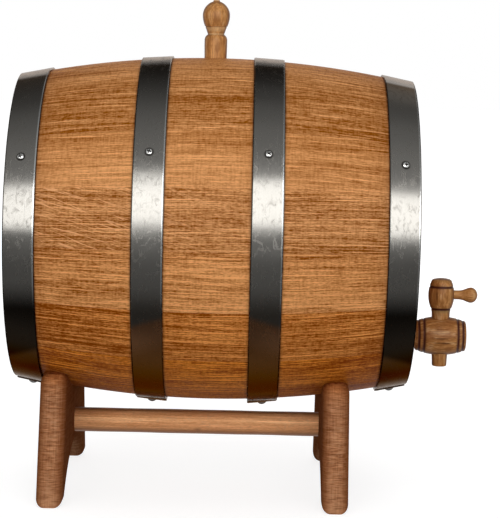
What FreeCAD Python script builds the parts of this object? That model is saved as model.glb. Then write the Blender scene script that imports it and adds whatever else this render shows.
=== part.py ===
import FreeCAD, Part
import math
import os

# A small oak cask for spirits, lying on a stand of two arched boards and a rail.
# The cask is coopered: staves with a croze at each end, two jointed heads, four riveted hoops,
# a bung in the top stave and a turned key tap in the front head.
#
# Everything is drawn about the middle of the cask: X runs along its axis with the tap at +X,
# Y runs across it and Z is up. Before a piece is written it is moved to the part's origin,
# which is on the floor under the middle of the whole object. Millimetres and degrees.
# A turn angle round the cask is 0 at the top and grows towards -Y, so 90 is the near side.

# ---------------------------------------------------------------- driving dimensions

# Cask body
CASK_LENGTH = 326.0
BILGE_RADIUS = 143.4          # outside of the staves at the middle
CHIME_RADIUS = 125.7          # outside of the staves at the ends
STAVE_THICKNESS = 18.0
STAVE_COUNT = 18
BUNG_STAVE_TURN = 2.5         # how far the middle of the bung stave lies from the top
STAVE_ARRIS = 0.4             # small bevel that shows each joint between staves
CHIME_LAND = 7.0              # flat ring at the end of the staves
CHIME_BEVEL = 10.0            # length of the bevel inside the chime

# Heads and the croze that holds them
CHIME_DEPTH = 20.0            # end of the staves to the face of the head
HEAD_THICKNESS = 14.0
CROZE_WIDTH = 5.0
CROZE_DEPTH = 4.0
HEAD_FIT = 0.1                # clearance of the head's tongue in the croze, all round
HEAD_BEVEL = 9.0              # width of the bevel from the face down to the tongue
HEAD_BOARD_COUNT = 5
HEAD_DOWEL_RADIUS = 3.0
HEAD_DOWEL_LENGTH = 24.0
HEAD_DOWEL_SPACING = 90.0     # between the two dowels of a joint
DOWEL_FIT = 0.05              # clearance of a dowel, screw or rivet in its hole
DOWEL_END_GAP = 0.5           # room left past each end of a head dowel

# Hoops: flat strip, lapped and riveted underneath, pinned with a small screw on each side
HOOP_WIDTH = 25.0
HOOP_THICKNESS = 1.5
HOOP_SEAT = 0.1               # clearance between a strip and the staves at their fullest point
CHIME_HOOP_INSET = 0.4        # end of the staves to the outer edge of a chime hoop
BACK_BILGE_HOOP_X = -49.5
FRONT_BILGE_HOOP_X = 43.0
LAP_ANGLE = 16.0
JOGGLE_ANGLE = 3.0            # length of the step where the upper strip comes down to the staves
RIVETS_PER_LAP = 2
RIVET_PITCH = 9.0             # angle between the rivets of a lap
RIVET_RADIUS = 2.0
RIVET_HEAD_RADIUS = 4.0
RIVET_HEAD_HEIGHT = 2.4
SCREW_ANGLE = 61.0            # turn angle of a hoop screw, on both sides of the cask
SCREW_RADIUS = 1.3
SCREW_HEAD_RADIUS = 2.85
SCREW_HEAD_HEIGHT = 1.7
SCREW_RIM_HEIGHT = 0.6        # straight side of the pan head
SCREW_LENGTH = 11.0           # from the face of the hoop to the point
SCREW_POINT = 2.0

# Bung
BUNG_X = -2.0
BUNG_RADIUS = 9.3             # at the face of the stave
BUNG_TAPER = 0.08             # loss of radius per millimetre of depth
BUNG_FIT = 0.05
BUNG_TAIL = 2.0               # how far the bung reaches into the cask
BUNG_SHOULDER_RADIUS = 9.5
BUNG_SHOULDER_HEIGHT = 14.8
BUNG_NECK_RADIUS = 6.9
BUNG_NECK_HEIGHT = 19.4
BUNG_COLLAR_RADIUS = 8.9      # top of the flared collar below the knob
BUNG_COLLAR_TOP = 25.9
BUNG_CREASE = 0.35            # depth of the groove cut between collar and knob
BUNG_KNOB_FOOT_RADIUS = 9.4
BUNG_KNOB_RADIUS = 11.35
BUNG_KNOB_HEIGHT = 35.6       # height of the widest part of the knob
BUNG_KNOB_TOP = 46.9
BUNG_NUB_RADIUS = 2.8
BUNG_NUB_END_RADIUS = 2.3
BUNG_NUB_HEIGHT = 1.3

# Tap: body with a tapered shank, and a key that turns in it and carries the spout
TAP_DROP = 87.0               # axis of the tap below the axis of the cask
TAP_STANDOFF = 30.5           # key axis past the end of the staves
TAP_BODY_HALF_LENGTH = 21.2
TAP_BODY_RADIUS = 16.4
TAP_BODY_END_RADIUS = 12.7
TAP_END_BEVEL = 0.8
TAP_RING_PAIR = (14.3, 18.6)  # burnt rings, out from the middle of the body
RING_WIDTH = 1.4
RING_DEPTH = 0.35
SHANK_RADIUS = 11.2           # where the shank leaves the body
SHANK_TAPER = 0.055           # loss of radius per millimetre
SHANK_TAIL = 11.0             # how far the shank reaches past the head into the cask
SHANK_FIT = 0.03
SHANK_BORE_RADIUS = 3.5

# Key
KEY_PLUG_RADIUS = 7.1         # at the axis of the tap
KEY_TAPER = 0.03              # gain of radius per millimetre of height
KEY_FIT = 0.08
KEY_NECK_TOP = 19.5
KEY_NECK_FLARE = 0.8          # gain of radius from the neck to the foot of the head
KEY_RING_HEIGHTS = (23.2, 42.0)
KEY_HEAD_RADIUS = 11.0
KEY_HEAD_HEIGHT = 34.3        # height of the widest part of the key's head
KEY_HEAD_TOP_RADIUS = 8.8
KEY_HEAD_TOP = 46.2
KEY_CROWN_RADIUS = 7.2
KEY_CROWN = 48.2
KEY_DOME = 49.3
SPOUT_TOP_RADIUS = 6.45
SPOUT_TOP = -18.6
SPOUT_END_RADIUS = 6.2
SPOUT_END = -25.9
SPOUT_BEVEL = 1.2
KEY_BORE_RADIUS = 3.0
KEY_BORE_TOP = 4.5

# Handle peg of the key
HANDLE_HEIGHT = 35.2
HANDLE_NECK_RADIUS = 3.9
HANDLE_SEAT = 5.0             # bottom of the peg's hole, out from the axis of the key
HANDLE_NECK_END = 14.0
HANDLE_BALL_BACK = 19.9       # where the flare of the peg meets the ball
HANDLE_BALL_SIDE_RADIUS = 4.8  # of the peg, there and in front of the ball's tip
HANDLE_BALL_REACH = 24.9
HANDLE_BALL_FRONT = 29.4
HANDLE_BALL_RADIUS = 6.5
HANDLE_REACH = 30.6

# Stand
BOARD_THICKNESS = 21.5
BOARD_ROUNDING = 7.0
BILGE_HEIGHT = 73.5           # floor to the underside of the staves at the middle
BACK_BOARD_GAP = 0.6          # back board to the edge of the back chime hoop
FRONT_BOARD_X = 102.7
SADDLE_FIT = 0.3              # clearance between the staves and their saddle
HORN_ANGLE = 31.0             # angle of the inner edge of a horn, seen from the cask's axis
HORN_WIDTH = 17.0
HORN_SHOULDER_WIDTH = 10.5
HORN_SHOULDER_DROP = 10.0
HORN_BEND = 0.3               # how far along the shoulder its curve comes nearest to the square corner
FOOT_HALF_SPREAD = 112.0
FOOT_LENGTH = 22.0
ARCH_HEIGHT = 31.0
RAIL_RADIUS = 10.4
RAIL_DROP = 22.3              # axis of the rail below the underside of the bilge
RAIL_TENON = 12.0             # how far the rail goes into each board
RAIL_FIT = 0.05

# ---------------------------------------------------------------- sizes that follow

CUT_PAST = 3.0                # how far a cutting tool reaches past the surface it leaves
HALF_LENGTH = CASK_LENGTH / 2
BULGE = BILGE_RADIUS - CHIME_RADIUS
SWEEP_RADIUS = (HALF_LENGTH ** 2 + BULGE ** 2) / (2 * BULGE)
STAVE_ANGLE = 360.0 / STAVE_COUNT
AXIS_HEIGHT = BILGE_HEIGHT + BILGE_RADIUS
HEAD_MIDDLE_X = HALF_LENGTH - CHIME_DEPTH - HEAD_THICKNESS / 2
KEY_X = HALF_LENGTH + TAP_STANDOFF
ORIGIN_X = (KEY_X + HANDLE_REACH - HALF_LENGTH) / 2
RAIL_Z = -BILGE_RADIUS - RAIL_DROP

CHIME_HOOP_X = HALF_LENGTH - CHIME_HOOP_INSET - HOOP_WIDTH / 2
HOOPS = {
    "back_chime_hoop": -CHIME_HOOP_X,
    "back_bilge_hoop": BACK_BILGE_HOOP_X,
    "front_bilge_hoop": FRONT_BILGE_HOOP_X,
    "front_chime_hoop": CHIME_HOOP_X,
}
BOARDS = {
    "cradle_back": -CHIME_HOOP_X + HOOP_WIDTH / 2 + BACK_BOARD_GAP + BOARD_THICKNESS / 2,
    "cradle_front": FRONT_BOARD_X,
}

CASK_AXIS = FreeCAD.Vector(1, 0, 0)
ACROSS = FreeCAD.Vector(0, 1, 0)
CENTRE = FreeCAD.Vector(0, 0, 0)
UP = FreeCAD.Vector(0, 0, 1)
UNDERSIDE = 180.0             # turn angle of the lowest line of the cask
SAME_POINT = 1e-6             # points nearer than this are one point


# ---------------------------------------------------------------- drawing helpers

def outline(start, steps, to_space):
    """A closed face from a start point and steps: a point ends a line, a pair (via, end) an arc."""
    edges = []
    here = to_space(*start)
    for step in steps:
        if isinstance(step[0], tuple):
            via, end = to_space(*step[0]), to_space(*step[1])
            edges.append(Part.Arc(here, via, end).toShape())
        else:
            end = to_space(*step)
            edges.append(Part.LineSegment(here, end).toShape())
        here = end
    if (here - to_space(*start)).Length > SAME_POINT:
        edges.append(Part.LineSegment(here, to_space(*start)).toShape())
    return Part.Face(Part.Wire(edges))


def along_cask(x, radius):
    """A point of a profile drawn beside the cask's axis, above it."""
    return FreeCAD.Vector(x, 0, radius)


def beside_upright(radius, height):
    """A point of a profile drawn beside an upright axis through the centre."""
    return FreeCAD.Vector(radius, 0, height)


def turned(start, steps):
    """A solid turned about an upright axis, from a profile of (radius, height) points."""
    return outline(start, steps, beside_upright).revolve(CENTRE, UP, 360)


def dome(radius, low, high):
    """The step of a profile that closes a turning with part of a sphere, up to the axis."""
    rise = high - low
    sphere = (radius ** 2 + rise ** 2) / (2 * rise)
    half_way = math.asin(radius / sphere) / 2
    via = (sphere * math.sin(half_way), high - sphere + sphere * math.cos(half_way))
    return (via, (0, high))


def moved(shape, x, y, z):
    """The shape shifted by the given distances."""
    shape.translate(FreeCAD.Vector(x, y, z))
    return shape


def rolled(shape, angle):
    """The shape turned round the cask's axis by a turn angle."""
    shape.rotate(CENTRE, CASK_AXIS, angle)
    return shape


def fused(shapes):
    """The shapes as one solid, without the seams between them."""
    return shapes[0].fuse(shapes[1:]).removeSplitter()


# ---------------------------------------------------------------- curve of the cask

def stave_radius(x):
    """Outside radius of the staves at a place along the cask."""
    return BILGE_RADIUS - SWEEP_RADIUS + math.sqrt(SWEEP_RADIUS ** 2 - x ** 2)


def bore_radius(x):
    """Inside radius of the staves at a place along the cask."""
    inner_sweep = SWEEP_RADIUS - STAVE_THICKNESS
    return BILGE_RADIUS - SWEEP_RADIUS + math.sqrt(inner_sweep ** 2 - x ** 2)


def bore_point(x):
    return (x, bore_radius(x))


def barrel(extra):
    """The full barrel shape of the outside of the staves, larger by extra all over."""
    end = (HALF_LENGTH, CHIME_RADIUS + extra)
    middle = (0, BILGE_RADIUS + extra)
    steps = [(middle, end), (HALF_LENGTH, 0), (-HALF_LENGTH, 0)]
    return outline((-HALF_LENGTH, CHIME_RADIUS + extra), steps, along_cask).revolve(CENTRE, CASK_AXIS, 360)


# ---------------------------------------------------------------- hoops and what fastens them

class HoopStrip:
    """The flat strip of one hoop: where it lies beside the cask and which way it faces."""

    def __init__(self, x):
        self.low_x = x - HOOP_WIDTH / 2
        self.high_x = x + HOOP_WIDTH / 2
        rise = stave_radius(self.high_x) - stave_radius(self.low_x)
        length = math.hypot(HOOP_WIDTH, rise)
        self.facing = (-rise / length, HOOP_WIDTH / length)
        self.slope = math.degrees(math.atan2(rise, HOOP_WIDTH))
        # The staves stand proud of the straight strip by this much at its middle.
        self.crown = length ** 2 / (8 * SWEEP_RADIUS)

    def point(self, x, height):
        """A point of the strip's section, height above its inner face."""
        lift = self.crown + HOOP_SEAT + height
        return (x + self.facing[0] * lift, stave_radius(x) + self.facing[1] * lift)

    def section(self, low, high):
        """The strip's section between two heights above its inner face."""
        corners = [self.point(self.high_x, low), self.point(self.high_x, high), self.point(self.low_x, high)]
        return outline(self.point(self.low_x, low), corners, along_cask)

    def seated(self, shape, height, angle):
        """A fastener drawn upright on the centre, set square on the strip at a turn angle."""
        low = self.point(self.low_x, height)
        high = self.point(self.high_x, height)
        shape.rotate(CENTRE, ACROSS, -self.slope)
        moved(shape, (low[0] + high[0]) / 2, 0, (low[1] + high[1]) / 2)
        return rolled(shape, angle)


def screw_angles():
    return (SCREW_ANGLE, -SCREW_ANGLE)


def rivet_angles():
    first = UNDERSIDE - RIVET_PITCH * (RIVETS_PER_LAP - 1) / 2
    return [first + RIVET_PITCH * i for i in range(RIVETS_PER_LAP)]


def rivet(strip, angle):
    """A domed rivet through both layers of the lap, flush inside."""
    grip = 2 * HOOP_THICKNESS
    steps = [
        (RIVET_RADIUS, -grip),
        (RIVET_RADIUS, 0),
        (RIVET_HEAD_RADIUS, 0),
        dome(RIVET_HEAD_RADIUS, 0, RIVET_HEAD_HEIGHT),
    ]
    return strip.seated(turned((0, -grip), steps), grip, angle)


def rivet_hole(strip, angle):
    grip = 2 * HOOP_THICKNESS
    hole = Part.makeCylinder(RIVET_RADIUS + DOWEL_FIT, 3 * grip, FreeCAD.Vector(0, 0, -2 * grip), UP)
    return strip.seated(hole, grip, angle)


def screw(strip, angle):
    """A small pan-head screw through the hoop into the stave below it."""
    steps = [
        (SCREW_RADIUS, SCREW_POINT - SCREW_LENGTH),
        (SCREW_RADIUS, 0),
        (SCREW_HEAD_RADIUS, 0),
        (SCREW_HEAD_RADIUS, SCREW_RIM_HEIGHT),
        dome(SCREW_HEAD_RADIUS, SCREW_RIM_HEIGHT, SCREW_HEAD_HEIGHT),
    ]
    return strip.seated(turned((0, -SCREW_LENGTH), steps), HOOP_THICKNESS, angle)


def screw_hole(strip, angle):
    depth = SCREW_LENGTH + DOWEL_FIT
    hole = Part.makeCylinder(SCREW_RADIUS + DOWEL_FIT, 2 * depth, FreeCAD.Vector(0, 0, -depth), UP)
    return strip.seated(hole, HOOP_THICKNESS, angle)


def hoop(strip):
    """A closed hoop: one layer all round, a second over the lap, and the joggle that ends it."""
    ring = strip.section(0, HOOP_THICKNESS).revolve(CENTRE, CASK_AXIS, 360)
    lap_start = UNDERSIDE - LAP_ANGLE / 2
    lap_section = rolled(strip.section(HOOP_THICKNESS / 2, 2 * HOOP_THICKNESS), lap_start)
    lap = lap_section.revolve(CENTRE, CASK_AXIS, LAP_ANGLE)
    high_end = rolled(strip.section(HOOP_THICKNESS / 2, 2 * HOOP_THICKNESS), lap_start + LAP_ANGLE)
    low_end = rolled(strip.section(HOOP_THICKNESS / 2, HOOP_THICKNESS), lap_start + LAP_ANGLE + JOGGLE_ANGLE)
    joggle = Part.makeLoft([high_end.OuterWire, low_end.OuterWire], True, True)
    holes = [rivet_hole(strip, angle) for angle in rivet_angles()]
    holes += [screw_hole(strip, angle) for angle in screw_angles()]
    return fused([ring, lap, joggle]).cut(holes)


# ---------------------------------------------------------------- staves

def bung_hole():
    """The tapered hole for the bung, as a solid to cut with."""
    depth = STAVE_THICKNESS + 2 * BUNG_TAIL
    wide = BUNG_RADIUS + BUNG_FIT + BUNG_TAPER * BUNG_TAIL
    narrow = wide - BUNG_TAPER * (depth + BUNG_TAIL)
    top = FreeCAD.Vector(BUNG_X, 0, stave_radius(BUNG_X) + BUNG_TAIL)
    return Part.makeCone(wide, narrow, depth + BUNG_TAIL, top, -UP)


def croze_radius():
    return bore_radius(HEAD_MIDDLE_X) + CROZE_DEPTH


def stave_section():
    """Half lengthwise section of the barrel wall, with the croze and the bevelled chime at each end."""
    croze_in = HEAD_MIDDLE_X - CROZE_WIDTH / 2
    croze_out = HEAD_MIDDLE_X + CROZE_WIDTH / 2
    bevel_end = HALF_LENGTH - CHIME_BEVEL
    chime_middle = (croze_out + bevel_end) / 2
    steps = [
        ((0, BILGE_RADIUS), (HALF_LENGTH, CHIME_RADIUS)),
        (HALF_LENGTH, CHIME_RADIUS - CHIME_LAND),
        bore_point(bevel_end),
        (bore_point(chime_middle), bore_point(croze_out)),
        (croze_out, croze_radius()),
        (croze_in, croze_radius()),
        bore_point(croze_in),
        (bore_point(0), bore_point(-croze_in)),
        (-croze_in, croze_radius()),
        (-croze_out, croze_radius()),
        bore_point(-croze_out),
        (bore_point(-chime_middle), bore_point(-bevel_end)),
        (-HALF_LENGTH, CHIME_RADIUS - CHIME_LAND),
    ]
    return outline((-HALF_LENGTH, CHIME_RADIUS), steps, along_cask)


def is_outer_arris(edge):
    """True for the two long edges of a stave on the outside of the cask."""
    middle = edge.valueAt((edge.FirstParameter + edge.LastParameter) / 2)
    return edge.Length > CASK_LENGTH and math.hypot(middle.y, middle.z) > BILGE_RADIUS - STAVE_THICKNESS / 2


def stave(number, cutters):
    """One stave, numbered round the cask from the bung stave."""
    start = BUNG_STAVE_TURN + (number - 0.5) * STAVE_ANGLE
    blank = rolled(stave_section(), start).revolve(CENTRE, CASK_AXIS, STAVE_ANGLE)
    arrises = [edge for edge in blank.Edges if is_outer_arris(edge)]
    blank = blank.makeChamfer(STAVE_ARRIS, arrises)
    box = blank.BoundBox
    holes = [cutter for cutter in cutters if cutter.BoundBox.intersect(box)]
    return blank.cut(holes) if holes else blank


# ---------------------------------------------------------------- heads

def head_blank():
    """A whole head before it is split into boards, centred on its thickness."""
    tongue_half = CROZE_WIDTH / 2 - HEAD_FIT
    tongue_end = croze_radius() - HEAD_FIT
    tongue_root = bore_radius(HEAD_MIDDLE_X + CROZE_WIDTH / 2) - HEAD_FIT
    face_half = HEAD_THICKNESS / 2
    steps = [
        (-face_half, tongue_root - HEAD_BEVEL),
        (-tongue_half, tongue_root),
        (-tongue_half, tongue_end),
        (tongue_half, tongue_end),
        (tongue_half, tongue_root),
        (face_half, tongue_root - HEAD_BEVEL),
        (face_half, 0),
    ]
    return outline((-face_half, 0), steps, along_cask).revolve(CENTRE, CASK_AXIS, 360)


def head_joints():
    """Where the joints between the boards of a head lie across the cask."""
    width = 2 * croze_radius() / HEAD_BOARD_COUNT
    return [width * (i - HEAD_BOARD_COUNT / 2) for i in range(1, HEAD_BOARD_COUNT)]


def head_pegs(radius, length):
    """The dowels in the joints of a head, or their holes with larger sizes."""
    pegs = []
    for joint in head_joints():
        for side in (-1, 1):
            base = FreeCAD.Vector(0, joint - length / 2, side * HEAD_DOWEL_SPACING / 2)
            pegs.append(Part.makeCylinder(radius, length, base, ACROSS))
    return pegs


def head_boards(extra_cutters):
    """The boards of a head, in order across the cask, drilled for their dowels."""
    holes = head_pegs(HEAD_DOWEL_RADIUS + DOWEL_FIT, HEAD_DOWEL_LENGTH + 2 * DOWEL_END_GAP)
    drilled = head_blank().cut(holes + extra_cutters)
    reach = croze_radius()
    edges = [-reach] + head_joints() + [reach]
    boards = []
    for low, high in zip(edges, edges[1:]):
        corner = FreeCAD.Vector(-HEAD_THICKNESS, low, -reach)
        slab = Part.makeBox(2 * HEAD_THICKNESS, high - low, 2 * reach, corner)
        boards.append(drilled.common(slab))
    return boards


# ---------------------------------------------------------------- tap

def shank_length():
    """From the middle of the tap body to the tip of its shank."""
    return KEY_X - (HALF_LENGTH - CHIME_DEPTH - HEAD_THICKNESS - SHANK_TAIL)


def shank_radius(distance):
    """Radius of the shank at a distance behind the middle of the tap body."""
    return SHANK_RADIUS - SHANK_TAPER * (distance - TAP_BODY_HALF_LENGTH)


def shank(extra):
    """The tapered shank about the X axis, with the middle of the tap body at the centre."""
    tip = shank_length()
    wide, narrow = shank_radius(0) + extra, shank_radius(tip) + extra
    return Part.makeCone(wide, narrow, tip, CENTRE, -CASK_AXIS)


def key_radius(height):
    """Radius of the key's tapered plug at a height above the axis of the tap."""
    return KEY_PLUG_RADIUS + KEY_TAPER * height


def ring_groove(radius, base, direction):
    """A burnt ring as a solid to cut with: a thin collar centred on base."""
    start = base - direction * (RING_WIDTH / 2)
    outer = Part.makeCylinder(2 * radius, RING_WIDTH, start, direction)
    return outer.cut(Part.makeCylinder(radius - RING_DEPTH, RING_WIDTH, start, direction))


def arc_radius(across, middle_radius, end_radius, half_length):
    """Radius of a barrel-shaped turning at a distance from its middle."""
    drop = middle_radius - end_radius
    sweep = (half_length ** 2 + drop ** 2) / (2 * drop)
    return middle_radius - sweep + math.sqrt(sweep ** 2 - across ** 2)


def tap_body():
    """The turned body with its shank, the hole for the key and the bore that feeds it."""
    steps = [
        (-TAP_BODY_HALF_LENGTH, TAP_BODY_END_RADIUS - TAP_END_BEVEL),
        (-TAP_BODY_HALF_LENGTH + TAP_END_BEVEL, TAP_BODY_END_RADIUS),
        ((0, TAP_BODY_RADIUS), (TAP_BODY_HALF_LENGTH - TAP_END_BEVEL, TAP_BODY_END_RADIUS)),
        (TAP_BODY_HALF_LENGTH, TAP_BODY_END_RADIUS - TAP_END_BEVEL),
        (TAP_BODY_HALF_LENGTH, 0),
    ]
    barrel_part = outline((-TAP_BODY_HALF_LENGTH, 0), steps, along_cask).revolve(CENTRE, CASK_AXIS, 360)
    curve_half = TAP_BODY_HALF_LENGTH - TAP_END_BEVEL
    cutters = []
    for distance in TAP_RING_PAIR:
        radius = arc_radius(distance, TAP_BODY_RADIUS, TAP_BODY_END_RADIUS, curve_half)
        for side in (-1, 1):
            cutters.append(ring_groove(radius, CASK_AXIS * (side * distance), CASK_AXIS))
    reach = TAP_BODY_RADIUS + CUT_PAST
    low, high = key_radius(-reach) + KEY_FIT, key_radius(reach) + KEY_FIT
    cutters.append(Part.makeCone(low, high, 2 * reach, UP * -reach, UP))
    cutters.append(Part.makeCylinder(SHANK_BORE_RADIUS, shank_length() + CUT_PAST, CENTRE, -CASK_AXIS))
    return fused([barrel_part, shank(0)]).cut(cutters)


def tap_key():
    """The key: turned head, tapered plug and spout, bored up from below to a port across the plug."""
    body_reach = TAP_BODY_RADIUS
    neck_radius = key_radius(KEY_NECK_TOP)
    foot_radius = neck_radius + KEY_NECK_FLARE
    low_ring, high_ring = KEY_RING_HEIGHTS
    steps = [
        (SPOUT_END_RADIUS - SPOUT_BEVEL, SPOUT_END),
        (SPOUT_END_RADIUS, SPOUT_END + SPOUT_BEVEL),
        (SPOUT_TOP_RADIUS, SPOUT_TOP),
        (key_radius(-body_reach), -body_reach),
        (neck_radius, KEY_NECK_TOP),
        (foot_radius, low_ring),
        ((KEY_HEAD_RADIUS, KEY_HEAD_HEIGHT), (KEY_HEAD_TOP_RADIUS, KEY_HEAD_TOP)),
        (KEY_CROWN_RADIUS, KEY_CROWN),
        dome(KEY_CROWN_RADIUS, KEY_CROWN, KEY_DOME),
    ]
    blank = turned((0, SPOUT_END), steps)
    port_half = KEY_PLUG_RADIUS + CUT_PAST
    port_start = FreeCAD.Vector(0, -port_half, 0)
    cutters = [
        Part.makeCylinder(KEY_BORE_RADIUS, KEY_BORE_TOP - SPOUT_END, UP * SPOUT_END, UP),
        Part.makeCylinder(KEY_BORE_RADIUS, 2 * port_half, port_start, ACROSS),
        handle_peg_hole(),
    ]
    for height, radius in zip(KEY_RING_HEIGHTS, (foot_radius, key_head_radius(high_ring))):
        cutters.append(ring_groove(radius, UP * height, UP))
    return blank.cut(cutters)


def key_head_radius(height):
    """Radius of the key's head at a height, on the arc through its widest part and its top."""
    half = KEY_HEAD_TOP - KEY_HEAD_HEIGHT
    return arc_radius(height - KEY_HEAD_HEIGHT, KEY_HEAD_RADIUS, KEY_HEAD_TOP_RADIUS, half)


def handle_peg_hole():
    depth = 2 * KEY_HEAD_RADIUS - HANDLE_SEAT
    base = FreeCAD.Vector(HANDLE_SEAT, 0, HANDLE_HEIGHT)
    return Part.makeCylinder(HANDLE_NECK_RADIUS + DOWEL_FIT, depth, base, CASK_AXIS)


def tap_handle():
    """The turned peg that sticks out of the key's head and ends in a ball."""
    steps = [
        (HANDLE_NECK_RADIUS, HANDLE_SEAT),
        (HANDLE_NECK_RADIUS, HANDLE_NECK_END),
        (HANDLE_BALL_SIDE_RADIUS, HANDLE_BALL_BACK),
        ((HANDLE_BALL_RADIUS, HANDLE_BALL_REACH), (HANDLE_BALL_SIDE_RADIUS, HANDLE_BALL_FRONT)),
        (0, HANDLE_REACH),
    ]
    peg = turned((0, HANDLE_SEAT), steps)
    peg.rotate(CENTRE, ACROSS, 90)
    return moved(peg, 0, 0, HANDLE_HEIGHT)


def at_tap(shape):
    """A piece drawn about the middle of the tap, moved to its place on the cask."""
    return moved(shape, KEY_X, 0, -TAP_DROP)


# ---------------------------------------------------------------- bung

def bung():
    """The turned bung: tapered plug, straight stem, waist, flared collar and round knob with a small nub."""
    face = stave_radius(BUNG_X)
    tail = STAVE_THICKNESS + BUNG_TAIL
    knob_foot = (BUNG_KNOB_FOOT_RADIUS, BUNG_COLLAR_TOP + BUNG_CREASE)
    knob_side = (BUNG_KNOB_RADIUS, BUNG_KNOB_HEIGHT)
    # Above its widest part the knob is close to a quarter circle, given by its point half way up.
    rise = BUNG_KNOB_TOP - BUNG_KNOB_HEIGHT
    half_way = math.radians(90) / 2
    crown = (BUNG_KNOB_RADIUS * math.cos(half_way), BUNG_KNOB_HEIGHT + rise * math.sin(half_way))
    steps = [
        (BUNG_RADIUS - BUNG_TAPER * tail, -tail),
        (BUNG_RADIUS, 0),
        (BUNG_SHOULDER_RADIUS, BUNG_SHOULDER_HEIGHT),
        (shoulder_middle(), (BUNG_NECK_RADIUS, BUNG_NECK_HEIGHT)),
        (BUNG_COLLAR_RADIUS, BUNG_COLLAR_TOP - BUNG_CREASE),
        (BUNG_COLLAR_RADIUS - BUNG_CREASE, BUNG_COLLAR_TOP),
        knob_foot,
        (knob_flank(), knob_side),
        (crown, (BUNG_NUB_RADIUS, BUNG_KNOB_TOP)),
        (BUNG_NUB_END_RADIUS, BUNG_KNOB_TOP + BUNG_NUB_HEIGHT),
        (0, BUNG_KNOB_TOP + BUNG_NUB_HEIGHT),
    ]
    return moved(turned((0, -tail), steps), BUNG_X, 0, face)


def shoulder_middle():
    """The middle of the rounded shoulder between the stem and the neck, on an arc that leaves the stem
    in line with it."""
    drop = BUNG_SHOULDER_RADIUS - BUNG_NECK_RADIUS
    rise = BUNG_NECK_HEIGHT - BUNG_SHOULDER_HEIGHT
    return arc_middle(BUNG_SHOULDER_RADIUS, BUNG_SHOULDER_HEIGHT, drop, rise)


def knob_flank():
    """The middle of the knob's lower side, on an arc that is upright at the knob's widest part."""
    drop = BUNG_KNOB_RADIUS - BUNG_KNOB_FOOT_RADIUS
    rise = BUNG_COLLAR_TOP + BUNG_CREASE - BUNG_KNOB_HEIGHT
    return arc_middle(BUNG_KNOB_RADIUS, BUNG_KNOB_HEIGHT, drop, rise)


def arc_middle(radius, height, drop, rise):
    """The middle of an arc that starts upright at a radius and height and comes in by drop over rise."""
    sweep = (rise ** 2 + drop ** 2) / (2 * drop)
    half_turn = math.asin(rise / sweep) / 2
    return (radius - sweep * (1 - math.cos(half_turn)), height + sweep * math.sin(half_turn))


# ---------------------------------------------------------------- stand

def cradle_board(x):
    """An arched board with two horns and two splayed feet, its saddle cut to the curve of the cask."""
    floor = -AXIS_HEIGHT
    saddle = stave_radius(x) + SADDLE_FIT
    horn_inner = saddle * math.sin(math.radians(HORN_ANGLE))
    horn_top = -saddle * math.cos(math.radians(HORN_ANGLE))
    horn_outer = horn_inner + HORN_WIDTH
    shoulder = horn_outer - HORN_SHOULDER_WIDTH
    low_shoulder = horn_top - HORN_SHOULDER_DROP
    bend = (horn_outer - HORN_SHOULDER_WIDTH * HORN_BEND, horn_top - HORN_SHOULDER_DROP * HORN_BEND)
    foot_inner = FOOT_HALF_SPREAD - FOOT_LENGTH
    steps = [
        (horn_outer, low_shoulder),
        (bend, (shoulder, horn_top)),
        (-shoulder, horn_top),
        ((-bend[0], bend[1]), (-horn_outer, low_shoulder)),
        (-FOOT_HALF_SPREAD, floor),
        (-foot_inner, floor),
        ((0, floor + ARCH_HEIGHT), (foot_inner, floor)),
    ]
    low_face = x - BOARD_THICKNESS / 2
    face = outline((FOOT_HALF_SPREAD, floor), steps, lambda y, z: FreeCAD.Vector(low_face, y, z))
    blank = face.extrude(CASK_AXIS * BOARD_THICKNESS)
    rim = [edge for edge in blank.Edges if edge.BoundBox.XLength < BOARD_THICKNESS / 2]
    blank = blank.makeFillet(BOARD_ROUNDING, rim)
    return blank.cut([barrel(SADDLE_FIT), rail(RAIL_FIT)])


def rail(extra):
    """The round rail between the boards, or with extra the holes that its ends fit."""
    inner_faces = [BOARDS["cradle_back"] + BOARD_THICKNESS / 2, BOARDS["cradle_front"] - BOARD_THICKNESS / 2]
    start = inner_faces[0] - RAIL_TENON - extra
    length = inner_faces[1] - inner_faces[0] + 2 * (RAIL_TENON + extra)
    return Part.makeCylinder(RAIL_RADIUS + extra, length, FreeCAD.Vector(start, 0, RAIL_Z), CASK_AXIS)


# ---------------------------------------------------------------- the whole object

def cask_pieces():
    """Name and shape of every piece of the cask, its hoops and their fastenings."""
    pieces = {}
    strips = {name: HoopStrip(x) for name, x in HOOPS.items()}
    screw_holes = [screw_hole(strip, angle) for strip in strips.values() for angle in screw_angles()]
    cutters = screw_holes + [bung_hole()]
    pieces["bung_stave"] = stave(0, cutters)
    for number in range(1, STAVE_COUNT):
        pieces["stave_%02d" % (number + 1)] = stave(number, cutters)

    front_x, back_x = HEAD_MIDDLE_X, -HEAD_MIDDLE_X
    tap_hole = moved(shank(SHANK_FIT), KEY_X - front_x, 0, -TAP_DROP)
    for end, x, cut in (("front", front_x, [tap_hole]), ("back", back_x, [])):
        for number, board in enumerate(head_boards(cut), start=1):
            pieces["%s_head_board_%d" % (end, number)] = moved(board, x, 0, 0)
        pegs = head_pegs(HEAD_DOWEL_RADIUS, HEAD_DOWEL_LENGTH)
        pieces["%s_head_dowels" % end] = moved(Part.makeCompound(pegs), x, 0, 0)

    for name, strip in strips.items():
        pieces[name] = hoop(strip)
        rivets = [rivet(strip, angle) for angle in rivet_angles()]
        pieces[name + "_rivets"] = Part.makeCompound(rivets)
    screws = [screw(strip, angle) for strip in strips.values() for angle in screw_angles()]
    pieces["hoop_screws"] = Part.makeCompound(screws)
    return pieces


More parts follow.
